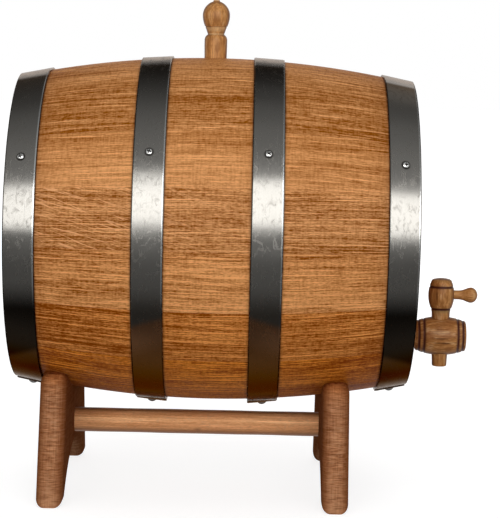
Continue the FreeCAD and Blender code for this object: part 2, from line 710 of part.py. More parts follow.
def all_pieces():
    """Name and shape of every piece of the object."""
    pieces = cask_pieces()
    pieces["bung"] = bung()
    pieces["tap_body"] = at_tap(tap_body())
    pieces["tap_key"] = at_tap(tap_key())
    pieces["tap_handle"] = at_tap(tap_handle())
    for name, x in BOARDS.items():
        pieces[name] = cradle_board(x)
    pieces["stand_rail"] = rail(0)
    return pieces


os.makedirs("parts", exist_ok=True)
for piece_name, piece in all_pieces().items():
    moved(piece, -ORIGIN_X, 0, AXIS_HEIGHT).exportStep("parts/%s.step" % piece_name)
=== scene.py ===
import math

import bmesh
import bpy
import numpy as np
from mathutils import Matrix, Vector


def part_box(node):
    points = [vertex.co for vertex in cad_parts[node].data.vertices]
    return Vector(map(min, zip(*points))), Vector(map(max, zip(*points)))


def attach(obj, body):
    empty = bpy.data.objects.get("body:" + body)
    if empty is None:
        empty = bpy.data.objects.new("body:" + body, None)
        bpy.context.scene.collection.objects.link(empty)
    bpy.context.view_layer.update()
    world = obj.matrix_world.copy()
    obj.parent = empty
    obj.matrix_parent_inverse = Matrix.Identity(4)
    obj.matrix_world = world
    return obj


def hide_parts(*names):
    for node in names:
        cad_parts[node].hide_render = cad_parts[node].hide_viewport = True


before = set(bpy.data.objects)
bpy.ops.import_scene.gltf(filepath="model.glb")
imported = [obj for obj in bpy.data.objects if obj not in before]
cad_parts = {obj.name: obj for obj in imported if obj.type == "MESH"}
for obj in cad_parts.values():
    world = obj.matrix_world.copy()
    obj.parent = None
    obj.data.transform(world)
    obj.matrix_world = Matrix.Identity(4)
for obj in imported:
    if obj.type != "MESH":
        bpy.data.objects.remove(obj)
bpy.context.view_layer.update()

# ------------------------------------------------------------
# The staves. Eighteen oak staves, bent over fire and jointed edge to edge into the barrel. Each is
# hollowed and chamfered at both ends, with a croze cut inside for the head. The outside is sawn,
# planed and oiled, and nothing but the hoops holds them together.

MM = 0.001
STAVE_COUNT = 18
STAVE_ANGLE = 2 * math.pi / STAVE_COUNT
BUNG_STAVE_TURN = math.radians(2.5)
STAVE_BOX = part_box("bung_stave")
HEAD_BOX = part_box("front_head_board_3")
CASK_X = (STAVE_BOX[0].x + STAVE_BOX[1].x) / 2
CASK_Z = (HEAD_BOX[0].z + HEAD_BOX[1].z) / 2
CASK_MIDDLE = (CASK_X, 0.0, CASK_Z)
HALF_LENGTH = (STAVE_BOX[1].x - STAVE_BOX[0].x) / 2
BILGE_RADIUS = 143.4 * MM
CHIME_RADIUS = 125.7 * MM
STAVE_THICKNESS = 18.0 * MM
CHIME_LAND = 7.0 * MM
CHIME_BEVEL = 10.0 * MM
HEAD_THICKNESS = 14.0 * MM
HEAD_X = HALF_LENGTH - 20.0 * MM - HEAD_THICKNESS / 2
CROZE_WIDTH = 5.0 * MM
CROZE_DEPTH = 4.0 * MM
STAVE_ARRIS = 0.15 * MM
STAVE_GAP = 0.01 * MM
STAVE_SWAY = 0.05 * MM
STAVE_DROP = 0.12 * MM
BULGE = BILGE_RADIUS - CHIME_RADIUS
SWEEP_RADIUS = (HALF_LENGTH ** 2 + BULGE ** 2) / (2 * BULGE)
HOOP_WIDTH = 25.0 * MM
HOOPS = {
    "back_chime_hoop": -HALF_LENGTH + 12.9 * MM,
    "back_bilge_hoop": -49.5 * MM,
    "front_bilge_hoop": 43.0 * MM,
    "front_chime_hoop": HALF_LENGTH - 12.9 * MM,
}
HOOP_EDGES = np.array([place + side * HOOP_WIDTH / 2 for place in HOOPS.values() for side in (-1, 1)])
BUNG_X = -2.0 * MM
BUNG_HOLE_WIDE, BUNG_HOLE_NARROW = 9.51 * MM, 7.60 * MM
STAIN_AND_SHADE_WIDTH, END_STAIN_AND_SHADE_WIDTH = 0.9 * MM, 6.0 * MM

# From the bung stave round the near side: how golden the wood is at its first and at its second edge,
# how red, how coarse its pores are, and how much of its ray fleck shows.
# On the near staves the two golds also paint light and shade across each stave, and the red paints warm
# bounce light on the lower ones.
STAVE_LOOKS = [
    (0.52, 0.52, 0.0, 0.6, 0.0), (0.50, 0.54, 0.0, 0.6, 0.0), (0.42, 0.37, 0.0, 0.65, 0.0),
    (0.60, 0.94, 0.08, 0.45, 0.0), (0.67, 0.59, 0.02, 0.9, 1.0), (0.68, 1.02, 0.18, 0.95, 0.0),
    (0.46, 0.60, 0.6, 1.25, 0.0), (0.56, 0.46, 0.95, 1.3, 0.2), (0.42, 0.34, 1.0, 1.0, 0.3),
    (0.60, 0.50, 0.3, 0.9, 0.0), (0.52, 0.72, 0.4, 0.5, 0.0), (0.40, 0.44, 0.6, 0.8, 0.0),
    (0.60, 0.80, 0.3, 0.6, 0.0), (0.40, 0.34, 0.7, 0.7, 0.8), (0.64, 0.84, 0.2, 0.5, 0.0),
    (0.52, 0.56, 0.5, 0.9, 0.0), (0.58, 0.74, 0.3, 0.6, 0.3), (0.50, 0.42, 0.6, 0.8, 0.0),
]


def outer_radius(x):
    """Outside of the staves: a circular arc through the bilge and both chimes."""
    return BILGE_RADIUS - SWEEP_RADIUS + np.sqrt(SWEEP_RADIUS ** 2 - x ** 2)


def inner_radius(x):
    """Inside of the staves: the same arc, one thickness in."""
    return BILGE_RADIUS - SWEEP_RADIUS + np.sqrt((SWEEP_RADIUS - STAVE_THICKNESS) ** 2 - x ** 2)


CROZE_RADIUS = inner_radius(HEAD_X) + CROZE_DEPTH


def bore_profile():
    """Places along a stave and its inside radius there: the inner arc, stepped out over each croze and
    sloped out to the chime. A step is two places a hair apart."""
    hair = 0.002 * MM
    near = np.array([-5.0, -2.5, -1.2, -0.5, 0.0, 0.5, 1.2, 2.5, 5.0]) * MM
    steps = [side * (HEAD_X + edge * CROZE_WIDTH / 2 + shift) for side in (-1, 1) for edge in (-1, 1)
             for shift in (-hair, hair)]
    bevel_in = HALF_LENGTH - CHIME_BEVEL
    x = np.r_[np.linspace(-HALF_LENGTH, HALF_LENGTH, 67), (HOOP_EDGES[:, None] + near).ravel(),
              steps, -bevel_in, bevel_in]
    x = np.unique(np.round(np.clip(x, -HALF_LENGTH, HALF_LENGTH), 7))
    slope = (CHIME_RADIUS - CHIME_LAND - inner_radius(bevel_in)) / CHIME_BEVEL
    sloped = inner_radius(bevel_in) + slope * (np.abs(x) - bevel_in)
    radius = np.where(np.abs(x) > bevel_in, sloped, inner_radius(x))
    return x, np.where(np.abs(np.abs(x) - HEAD_X) < CROZE_WIDTH / 2, CROZE_RADIUS, radius)


def quarter_round(radius, count):
    """How far a rounded edge lies back from its one face and from its other, as it turns between them."""
    turn = np.linspace(0, math.pi / 2, count)
    return radius * (1 - np.sin(turn)), radius * (1 - np.cos(turn))


def points_at(x, y, z):
    """Points from arrays of their coordinates, each spread to the shape of the largest."""
    return np.stack(np.broadcast_arrays(x, y, z), axis=-1)


def round_cask(x, out, angle, aside=0.0):
    """Points round the cask: x along it, out from its axis and aside from there, rolled by an angle."""
    y = -out * np.sin(angle) - aside * np.cos(angle)
    z = out * np.cos(angle) - aside * np.sin(angle)
    return points_at(x + CASK_X, y, z + CASK_Z)


def in_scene(name, data):
    """A new object that holds a mesh, a lamp or a camera."""
    item = bpy.data.objects.new(name, data)
    bpy.context.scene.collection.objects.link(item)
    return item


def loop_solid(name, *solids):
    """One piece of closed solids. Each is a loop carried along a path, as points (stations, loop, 3) joined
    to their neighbours, with one flat face at each end. Doubles are merged, and faces turned outwards."""
    corners, faces = [], []
    for points in solids:
        rows, columns = points.shape[:2]
        index = np.arange(rows * columns).reshape(rows, columns) + len(corners)
        beside = np.roll(index, -1, axis=1)
        faces += np.stack([index[:-1], beside[:-1], beside[1:], index[1:]], axis=-1).reshape(-1, 4).tolist()
        faces += [index[0, ::-1].tolist(), index[-1].tolist()]
        corners += points.reshape(-1, 3).tolist()
    mesh = bpy.data.meshes.new(name)
    mesh.from_pydata(corners, [], faces)
    work = bmesh.new()
    work.from_mesh(mesh)
    bmesh.ops.remove_doubles(work, verts=work.verts, dist=1e-7)
    bmesh.ops.recalc_face_normals(work, faces=work.faces)
    work.to_mesh(mesh)
    work.free()
    return in_scene(name, mesh)


def cut_away(piece, *cutters):
    """The piece less the cutters, which are then thrown away."""
    for cutter in cutters:
        cut = piece.modifiers.new("cut", "BOOLEAN")
        cut.operation, cut.solver, cut.object = "DIFFERENCE", "EXACT", cutter
    view = bpy.context.evaluated_depsgraph_get()
    finished = bpy.data.meshes.new_from_object(piece.evaluated_get(view))
    piece.modifiers.clear()
    piece.data = finished
    for cutter in cutters:
        bpy.data.objects.remove(cutter)
    return piece


def finish_piece(piece, material, sharp_degrees=32.0):
    """The piece in its material, shaded smooth but for edges sharper than the angle."""
    piece.data.shade_smooth()
    piece.data.set_sharp_from_angle(angle=math.radians(sharp_degrees))
    piece.data.materials.append(material)


def corners_of(piece):
    """The piece's vertices as an array."""
    flat = np.empty(len(piece.data.vertices) * 3)
    piece.data.vertices.foreach_get("co", flat)
    return flat.reshape(-1, 3)


def cask_places(piece):
    """Each vertex by its place along the cask, its distance from the axis and its angle round it."""
    x, y, z = (corners_of(piece) - CASK_MIDDLE).T
    return x, np.hypot(y, z), np.arctan2(-y, z)


def keep(piece, **marks):
    """Keeps a number or a vector for each vertex, under the names that the material reads."""
    for name, mark in marks.items():
        kind, field = ("FLOAT_VECTOR", "vector") if np.ndim(mark) == 2 else ("FLOAT", "value")
        values = np.full(len(piece.data.vertices), mark) if np.ndim(mark) == 0 else mark
        held = piece.data.attributes.new(name, kind, "POINT")
        held.data.foreach_set(field, values.astype(np.float32).ravel())


def stave(number, name):
    """One stave: a loop of eased outer arc, two radial joint faces and inner arc, carried along the cask.
    An ease is a quarter round. The outside lies a hair lower on some staves than on others."""
    draw = np.random.default_rng(100 + number)
    x, inner = bore_profile()
    half = STAVE_ANGLE / 2 - STAVE_GAP / BILGE_RADIUS
    ease_drop, ease_aside = quarter_round(STAVE_ARRIS, 4)
    edge_angle = ease_aside / BILGE_RADIUS - half
    across = np.linspace(-half, half, 15)[1:-1]
    outer_angle = np.r_[edge_angle, across, -edge_angle[::-1]]
    outer_drop = np.r_[ease_drop, 0 * across, ease_drop[::-1]]
    inner_angle = np.linspace(half, -half, 7)
    sway = STAVE_SWAY * (np.sin(x / HALF_LENGTH * draw.uniform(2, 4) + draw.uniform(0, 6)) - 1)
    outer = (outer_radius(x) + sway - draw.uniform(0, STAVE_DROP))[:, None] - outer_drop
    radius = np.hstack([outer, np.repeat(inner[:, None], len(inner_angle), axis=1)])
    angle = BUNG_STAVE_TURN + number * STAVE_ANGLE + np.r_[outer_angle, inner_angle]
    return loop_solid(name, round_cask(x[:, None], radius, angle))


def near_hoop_edge(x):
    """1 at the edge of a hoop, fading out within about 2 mm on both sides of it, with a fainter and wider
    mark beside the end hoops. It is iron stain and painted shade."""
    away = np.abs(x[:, None] - HOOP_EDGES).min(axis=1)
    end = np.clip(HALF_LENGTH - np.abs(x) - HOOP_WIDTH, 0, None)
    return np.maximum(np.exp(-(away / STAIN_AND_SHADE_WIDTH) ** 1.5), 0.4 * np.exp(-end / END_STAIN_AND_SHADE_WIDTH))


def mark_stave(piece, number):
    """Wood coordinates of a stave: along it, round the cask from its middle, and in from the outside, each
    shifted to a new part of the figure. Its ends are painted darker as shade, more on the redder staves, and
    its fleck fades towards the front."""
    x, out, angle = cask_places(piece)
    turn = (angle - BUNG_STAVE_TURN - number * STAVE_ANGLE + math.pi) % (2 * math.pi) - math.pi
    gold_and_light_above, gold_and_light_below, red, coarse, fleck = STAVE_LOOKS[number]
    # Gold from one edge to the other: the stave's own tone, and on the near staves also painted light.
    gold = gold_and_light_above + (gold_and_light_below - gold_and_light_above) * (turn / STAVE_ANGLE + 0.5)
    grain = np.stack([x, turn * out, outer_radius(x) - out], axis=1) + np.array([0.37, 0.53, 0.11]) * number
    # The gold falls towards both ends: painted shade, stronger on the redder staves.
    keep(piece, grain=grain, gold=gold - (0.22 + 0.25 * red) * (x / HALF_LENGTH) ** 2, red=red,
         coarse=coarse, fleck=fleck * np.clip(0.75 - 1.1 * (x / HALF_LENGTH + 0.45), 0.15, 1),
         hoop_edge=near_hoop_edge(x) * (out > inner_radius(x) + STAVE_THICKNESS / 2))


def turned_solid(name, outline, axis, place, segments=96):
    """A turning: the outline's radii at its lengths along the named axis, swung round it and set at a place.
    An outline that starts on the axis inside the piece gives a turning with a bore."""
    radii, lengths = np.array(outline, float)[..., None]
    angle = np.linspace(0, 2 * math.pi, segments, endpoint=False)
    aside, ahead = radii * np.cos(angle), radii * np.sin(angle)
    ways = {"X": (lengths, aside, ahead), "Y": (aside, lengths, ahead), "Z": (aside, ahead, lengths)}[axis]
    return loop_solid(name, points_at(*ways) + np.array(place))


def hole(axis, place, near, far, near_radius, far_radius=None, segments=96):
    """A straight or tapered hole between two lengths along an axis, as a solid to cut with."""
    outline = [0, near_radius, far_radius or near_radius, 0], [near, near, far, far]
    return turned_solid("hole", outline, axis, place, segments)


class Value:
    """What an output of a node gives. Sums and products of values are made by further nodes."""

    def __init__(self, socket):
        self.socket, self.tree = socket, socket.id_data

    def __getitem__(self, name):
        """Another output of the same node."""
        return Value(self.socket.node.outputs[name])

    def __add__(self, other):
        return math_step("ADD", self, other)

    def __sub__(self, other):
        return math_step("SUBTRACT", self, other)

    def __mul__(self, other):
        return math_step("MULTIPLY", self, other)


def feed(node, inputs):
    """Gives each named input of a node its number or colour, or joins it to the value of another node."""
    for key, given in dict(inputs).items():
        if isinstance(given, Value):
            node.id_data.links.new(given.socket, node.inputs[key])
        else:
            node.inputs[key].default_value = given


def add_node(tree, kind, inputs=(), output=0, **settings):
    """A new node with its settings and inputs, as the value of one of its outputs."""
    node = tree.nodes.new("ShaderNode" + kind)
    for name, setting in settings.items():
        setattr(node, name, setting)
    feed(node, inputs)
    return Value(node.outputs[output])


def math_step(operation, *terms):
    """One step of arithmetic with numbers, of which the first is a value."""
    return add_node(terms[0].tree, "Math", enumerate(terms), operation=operation)


def vector_step(operation, *terms):
    """One step of arithmetic with places, of which the first is a value."""
    return add_node(terms[0].tree, "VectorMath", enumerate(terms), operation=operation)


def blended(share, first, second, way="MIX"):
    """A colour between two colours, or the first with the second laid over it."""
    inputs = {0: share, 6: first, 7: second}
    return add_node(share.tree, "Mix", inputs, 2, data_type="RGBA", blend_type=way)


def ramp(value, low, high, out_low=0.0, out_high=1.0):
    """The value moved from one range to another, with soft ends."""
    inputs = enumerate((value, low, high, out_low, out_high))
    return add_node(value.tree, "MapRange", inputs, interpolation_type="SMOOTHSTEP")


def drawn_noise(place, counts, detail=2.0, roughness=0.5, distortion=0.0):
    """Noise with its own count of patches per metre in each direction."""
    return add_node(place.tree, "TexNoise", {
        "Vector": vector_step("MULTIPLY", place, counts), "Scale": 1.0, "Detail": detail,
        "Roughness": roughness, "Distortion": distortion})


def relief(height, strength, distance):
    """Fine relief from a height, for a shader's Normal."""
    return add_node(height.tree, "Bump", {"Height": height, "Strength": strength, "Distance": distance})


def kept(tree, name, output="Fac"):
    """A number or a vector kept on the vertices."""
    return add_node(tree, "Attribute", (), output, attribute_name=name)


ORIGIN = (0.0, 0.0, 0.0)


def new_group(name, inputs, outputs):
    """An empty node group with named inputs and outputs, with what its inputs give and its end."""
    group = bpy.data.node_groups.new(name, "ShaderNodeTree")
    kinds = {1: "NodeSocketFloat", 3: "NodeSocketVector", 4: "NodeSocketColor"}
    for label, default in inputs.items():
        kind = kinds[len(default) if isinstance(default, tuple) else 1]
        group.interface.new_socket(label, in_out="INPUT", socket_type=kind).default_value = default
    for label, width in outputs.items():
        group.interface.new_socket(label, in_out="OUTPUT", socket_type=kinds[width])
    given = Value(group.nodes.new("NodeGroupInput").outputs[0])
    return group, given, group.nodes.new("NodeGroupOutput")


def wood_figure_group():
    """The figure of a planed oak board. Along the grain run broad bands, long fine streaks and short dark
    dashes, the open pores; across it stand the faint marks of the saw. All of it sets where each spot lies
    between the dark and the light tone."""
    group, given, result = new_group(
        "wood_figure",
        {"Grain": ORIGIN, "Gold": 0.5, "Coarse": 0.5, "Saw Marks": 0.3,
         "Dark": (0.1, 0.05, 0.02, 1.0), "Light": (0.5, 0.3, 0.15, 1.0)},
        {"Colour": 4, "Height": 1, "Roughness": 1})
    bend = drawn_noise(given["Grain"], (6.0, 26.0, 26.0), 1.0) * 0.006 - 0.003
    grain = vector_step("ADD", given["Grain"], add_node(group, "CombineXYZ", {"Y": bend}))
    bands = drawn_noise(grain, (4.0, 55.0, 55.0), 3.0, 0.6)
    streaks = drawn_noise(grain, (11.0, 520.0, 520.0), 2.0, 0.8)
    dashes = drawn_noise(grain, (100.0, 1150.0, 1150.0), 2.0, 0.6)
    lines = drawn_noise(grain, (7.0, 640.0, 640.0), 1.0)
    grit = drawn_noise(grain, (330.0, 1500.0, 1500.0), 1.0)
    crests = ramp(drawn_noise(grain, (16.0, 800.0, 800.0), 1.0), 0.56, 0.72)
    saw = drawn_noise(grain, (650.0, 110.0, 110.0), 1.0)
    pore = ramp(dashes, 0.54, 0.68) * given["Coarse"]
    mark = ramp(saw, 0.42, 0.66) * given["Saw Marks"]
    fine = streaks - 1.725 + dashes * 1.1 + grit * 0.8 + lines * 0.45 + crests * 0.45
    contrast = given["Coarse"] * 1.65 + 0.62
    depth = fine * contrast + (bands * 1.2 - 0.6) + given["Gold"] - pore * 0.20 - mark
    shade = add_node(group, "Clamp", {0: depth, 1: -0.15, 2: 1.35})
    tones = {0: shade, 6: given["Dark"], 7: given["Light"]}
    feed(result, {"Colour": add_node(group, "Mix", tones, 2, data_type="RGBA", clamp_factor=False),
                  "Height": streaks - pore * 0.6 - mark, "Roughness": pore * 0.2})
    return group


WOOD_FIGURE = wood_figure_group()


def wood_figure(grain, gold, coarse, saw_marks, dark, light):
    """The figure in a material, with its own grain, tones and marks."""
    return add_node(grain.tree, "Group", {
        "Grain": grain, "Gold": gold, "Coarse": coarse, "Saw Marks": saw_marks, "Dark": dark,
        "Light": light}, node_tree=WOOD_FIGURE)


def new_material(name):
    """An empty material with its shader joined to its output."""
    material = bpy.data.materials.new(name)
    material.use_nodes = True
    tree = material.node_tree
    tree.nodes.clear()
    shader = tree.nodes.new("ShaderNodeBsdfPrincipled")
    tree.links.new(shader.outputs[0], tree.nodes.new("ShaderNodeOutputMaterial").inputs[0])
    return material, tree, shader


OAK_DARK = (0.275, 0.088, 0.011, 1)
OAK_LIGHT = (0.685, 0.323, 0.122, 1)
OAK_RED_AND_BOUNCE = (1.0, 0.70, 0.20, 1)
OAK_RAY = (0.82, 0.41, 0.18, 1)
# Iron stain and painted shade beside the hoops.
IRON_STAIN_AND_SHADE = (0.090, 0.026, 0.010, 1)
RAY_SLANT = (0, 0, math.radians(-19))


def stave_oak():
    """Oiled oak, golden to brown by the stave, with slanting ray flecks on a quartered stave, and dark iron
    stain with painted shade along the hoops. The flecks are thin contour lines of a long noise turned off
    the grain."""
    material, tree, shader = new_material("stave_oak")
    grain = kept(tree, "grain", "Vector")
    figure = wood_figure(grain, kept(tree, "gold"), kept(tree, "coarse"), 0.18, OAK_DARK, OAK_LIGHT)
    slanted = add_node(tree, "Mapping", {"Vector": grain, "Rotation": RAY_SLANT})
    contour = math_step("ABSOLUTE", drawn_noise(slanted, (14.0, 260.0, 260.0), 1.0, 0.3, 0.3) - 0.5)
    where = drawn_noise(grain, (70.0, 260.0, 260.0), 1.0)
    ray = ramp(contour, 0.040, 0.012) * ramp(where, 0.34, 0.46) * kept(tree, "fleck")
    # The red tint is the wood's tone, and on the lower near staves painted warm bounce light.
    colour = blended(kept(tree, "red"), figure["Colour"], OAK_RED_AND_BOUNCE, "MULTIPLY")
    colour = blended(ray * 0.8, colour, OAK_RAY)
    # Iron stain and painted shade along the hoops.
    colour = blended(kept(tree, "hoop_edge") * 0.7, colour, IRON_STAIN_AND_SHADE)
    feed(shader, {"Base Color": colour, "Roughness": figure["Roughness"] + 0.50, "Specular IOR Level": 0.04,
                  "Normal": relief(figure["Height"], 0.5, 0.15 * MM)})
    return material


STAVE_OAK = stave_oak()
STAVE_NAMES = ["bung_stave"] + ["stave_%02d" % number for number in range(2, STAVE_COUNT + 1)]
for stave_number, stave_name in enumerate(STAVE_NAMES):
    oak_stave = stave(stave_number, "oak_" + stave_name)
    if stave_name == "bung_stave":
        hole_top = outer_radius(BUNG_X) + 2 * MM
        hole_tail = outer_radius(BUNG_X) - STAVE_THICKNESS - 4 * MM
        cut_away(oak_stave, hole("Z", (CASK_X + BUNG_X, 0, CASK_Z), hole_top, hole_tail,
                                 BUNG_HOLE_WIDE, BUNG_HOLE_NARROW))
    mark_stave(oak_stave, stave_number)
    finish_piece(oak_stave, STAVE_OAK)
    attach(oak_stave, "cask")
    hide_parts(stave_name)

# ------------------------------------------------------------
# The heads. Each is five upright oak boards, edge-jointed with dowels, cut round and bevelled on both
# faces to a tongue that sits in the croze. The front head is bored low for the tap.

HEAD_BOARD_COUNT = 5
HEAD_FIT = 0.1 * MM
HEAD_BEVEL = 9.0 * MM
HEAD_REACH = CROZE_RADIUS - HEAD_FIT
TONGUE_ROOT = inner_radius(HEAD_X + CROZE_WIDTH / 2) - HEAD_FIT
TONGUE_HALF = CROZE_WIDTH / 2 - HEAD_FIT
HEAD_ARRIS = 0.3 * MM
HEAD_LOOKS = [(0.52, 0.40, 0.7), (0.62, 0.25, 0.5), (0.45, 0.45, 0.8), (0.66, 0.30, 0.5), (0.40, 0.55, 0.7)]
TAP_DROP = 87.0 * MM
KEY_X = CASK_X + HALF_LENGTH + 30.5 * MM
TAP_PLACE = (KEY_X, 0, CASK_Z - TAP_DROP)
SHANK_RADIUS = 11.2 * MM
SHANK_TAPER = 0.055
SHANK_CLEARANCE = 0.03 * MM
TAP_HALF_LENGTH = 21.2 * MM


def head_half_thickness(out):
    """Half the thickness of a head by the distance from its middle: flat, then sloped down to the tongue."""
    slope = (HEAD_THICKNESS / 2 - TONGUE_HALF) / HEAD_BEVEL
    sloped = HEAD_THICKNESS / 2 - (out - TONGUE_ROOT + HEAD_BEVEL) * slope
    return np.clip(sloped, TONGUE_HALF, HEAD_THICKNESS / 2)


def head_board(name, number, head_x):
    """One board: for each place across it, a loop up its outer face and down its inner face, between the
    two ends of the chord there. The faces dip a hair at each joint."""
    width = 2 * CROZE_RADIUS / HEAD_BOARD_COUNT
    low = max(-HEAD_REACH, -CROZE_RADIUS + width * (number - 1))
    high = min(HEAD_REACH, -CROZE_RADIUS + width * number)
    spread = (1 - np.cos(np.linspace(0, math.pi, 25))) / 2
    ease = np.array([0.0, 0.3, 0.6, 1.0]) * HEAD_ARRIS
    y = np.unique(np.r_[low + (high - low) * spread, low + ease, high - ease])
    to_low = y - low if number > 1 else np.inf
    to_high = high - y if number < HEAD_BOARD_COUNT else np.inf
    dip = HEAD_ARRIS * np.clip(1 - np.minimum(to_low, to_high) / HEAD_ARRIS, 0, 1) ** 2
    y, dip = y[:, None], dip[:, None]
    rings = np.array([HEAD_REACH, TONGUE_ROOT, TONGUE_ROOT - HEAD_BEVEL / 2, TONGUE_ROOT - HEAD_BEVEL])
    tops = np.sqrt(np.clip(rings ** 2 - y ** 2, 0, None))
    inside = tops[:, -1:] * np.linspace(1, -1, 9)[1:-1]
    z = np.hstack([tops, inside, -tops[:, ::-1]])
    half = head_half_thickness(np.hypot(z, y)) - dip
    x = np.hstack([half, -half[:, ::-1]])
    return loop_solid(name, points_at(x + CASK_X + head_x, y, np.hstack([z, z[:, ::-1]]) + CASK_Z))


def mark_upright(piece, look, shift):
    """Wood coordinates of an upright board: its grain runs up."""
    gold, red, coarse = look
    keep(piece, grain=corners_of(piece)[:, [2, 1, 0]] + np.array([0.41, 0.29, 0.17]) * shift,
         gold=gold, red=red, coarse=coarse, fleck=0.0, hoop_edge=0.0)


for end_number, (end_name, end_x) in enumerate((("front", HEAD_X), ("back", -HEAD_X))):
    for board_number in range(1, HEAD_BOARD_COUNT + 1):
        node_name = "%s_head_board_%d" % (end_name, board_number)
        oak_board = head_board("oak_" + node_name, board_number, end_x)
        if node_name == "front_head_board_3":
            hole_end = 90.0 * MM
            hole_wide = SHANK_RADIUS + SHANK_CLEARANCE
            cut_away(oak_board, hole("X", TAP_PLACE, -TAP_HALF_LENGTH, -hole_end, hole_wide,
                                     hole_wide - SHANK_TAPER * (hole_end - TAP_HALF_LENGTH)))
        look_shift = board_number + 10 * end_number
        mark_upright(oak_board, HEAD_LOOKS[(2 * look_shift) % len(HEAD_LOOKS)], look_shift)
        finish_piece(oak_board, STAVE_OAK)
        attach(oak_board, "cask")
        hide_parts(node_name)

# ------------------------------------------------------------
# The dowels inside the heads are beech pegs. They sit hidden in the joints, as they were driven.

BEECH_DARK = (0.480, 0.290, 0.150, 1)
BEECH_LIGHT = (0.700, 0.500, 0.310, 1)
QUARTER_TURN = (0, 0, math.radians(90))


def object_place(tree):
    """Where a spot lies on its piece."""
    return add_node(tree, "TexCoord", (), "Object")


def dowel_beech():
    """Plain beech, its grain across the cask."""
    material, tree, shader = new_material("dowel_beech")
    across = add_node(tree, "Mapping", {"Vector": object_place(tree), "Rotation": QUARTER_TURN})
    figure = wood_figure(across, 0.5, 0.3, 0.1, BEECH_DARK, BEECH_LIGHT)
    feed(shader, {"Base Color": figure["Colour"], "Roughness": figure["Roughness"] + 0.6,
                  "Normal": relief(figure["Height"], 0.4, 0.1 * MM)})
    return material


DOWEL_BEECH = dowel_beech()
for end_name in ("front", "back"):
    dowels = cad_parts[end_name + "_head_dowels"]
    dowels.data.materials.clear()
    dowels.data.materials.append(DOWEL_BEECH)

# ------------------------------------------------------------
# The hoops. Each is a flat steel strip, bent into a slight cone, lapped underneath and riveted, then
# driven on towards the bilge. The upper end of the lap comes down to the staves in a short joggle.

SCREW_ANGLE = math.radians(61.0)
SCREW_HEAD_RADIUS = 2.85  # in millimetres, as in the outlines of all turned pieces below
HOOP_THICKNESS = 1.5 * MM
HOOP_SEAT = 0.1 * MM
HOOP_ROUNDING = 0.35 * MM
LAP_START = math.radians(172.0)
LAP_END = math.radians(188.0)
JOGGLE = math.radians(3.0)
HOOP_WAVE = 0.05 * MM
SHADOW_EDGE_WIDTH = 0.5 * MM
# Where the painted highlight runs along one arris of each strip.
ARRIS_INSET, ARRIS_WIDTH = 0.7 * MM, 0.6 * MM


def strip_lie(place):
    """How a strip lies: the middle of its inner face and the directions along its width and out from its
    face, each as (along the cask, out from the axis), and its width."""
    low, high = outer_radius(place - HOOP_WIDTH / 2), outer_radius(place + HOOP_WIDTH / 2)
    width = math.hypot(HOOP_WIDTH, high - low)
    along = np.array([HOOP_WIDTH, high - low]) / width
    facing = np.array([low - high, HOOP_WIDTH]) / width
    crown = width ** 2 / (8 * SWEEP_RADIUS)
    middle = np.array([place, (low + high) / 2]) + facing * (crown + HOOP_SEAT)
    return middle, along, facing, width


def off_strip(place, across, up):
    """Where a point across a strip and up from its inner face lies: along the cask and out from its axis."""
    middle, along, facing, _ = strip_lie(place)
    return middle[0] + along[0] * across + facing[0] * up, middle[1] + along[1] * across + facing[1] * up


def strip_places(piece, place):
    """Each vertex by its distance from the cask's axis, its angle round it, and its places across the strip
    and up from the strip's inner face."""
    x, out, angle = cask_places(piece)
    middle, along, facing, _ = strip_lie(place)
    off_x, off_out = x - middle[0], out - middle[1]
    return out, angle, off_x * along[0] + off_out * along[1], off_x * facing[0] + off_out * facing[1]


def strip_section(width):
    """The loop of a strip's section: across its width and up its thickness, with rounded corners."""
    inset, lift = quarter_round(HOOP_ROUNDING, 4)
    flat = width / 2 - HOOP_ROUNDING - np.array([0.5, 1.3, 3.5, 8.0]) * MM
    half_across = np.r_[width / 2 - inset[::-1], flat]
    half_up = np.r_[HOOP_THICKNESS - lift, np.full(len(flat), HOOP_THICKNESS)]
    top_across = np.r_[half_across, -half_across[::-1]]
    top_up = np.r_[half_up, half_up[::-1]]
    return np.r_[top_across, -top_across], np.r_[top_up, HOOP_THICKNESS - top_up]


def hoop_strip(name, place, number):
    """The strip's section carried once round the cask and on under its own start. Its height above the
    staves is one thickness over the lap, falls by a smooth step in the joggle, and then stays at nothing,
    but for slight waves round the cask."""
    draw = np.random.default_rng(300 + number)
    width = strip_lie(place)[3]
    across, up = strip_section(width)
    fine = np.linspace(LAP_END - JOGGLE, LAP_END + 2 * JOGGLE, 40)
    angle = np.unique(np.r_[np.linspace(LAP_START, LAP_END + 2 * math.pi - 0.004, 300), fine])[:, None]
    down = np.clip((angle - LAP_END) / JOGGLE, 0, 1)
    rise = HOOP_THICKNESS * (1 - down * down * (3 - 2 * down))
    counts, starts = draw.integers(5, 40, 6), draw.uniform(0, 6, 6)
    wave = HOOP_WAVE * np.sin(angle * counts + starts).sum(axis=1, keepdims=True) / 3 + HOOP_WAVE
    tilt = 1 + 0.8 * np.sin(angle * 11 + starts[0]) * across / width
    return loop_solid(name, round_cask(*off_strip(place, across, up + (rise + wave) * tilt), angle))


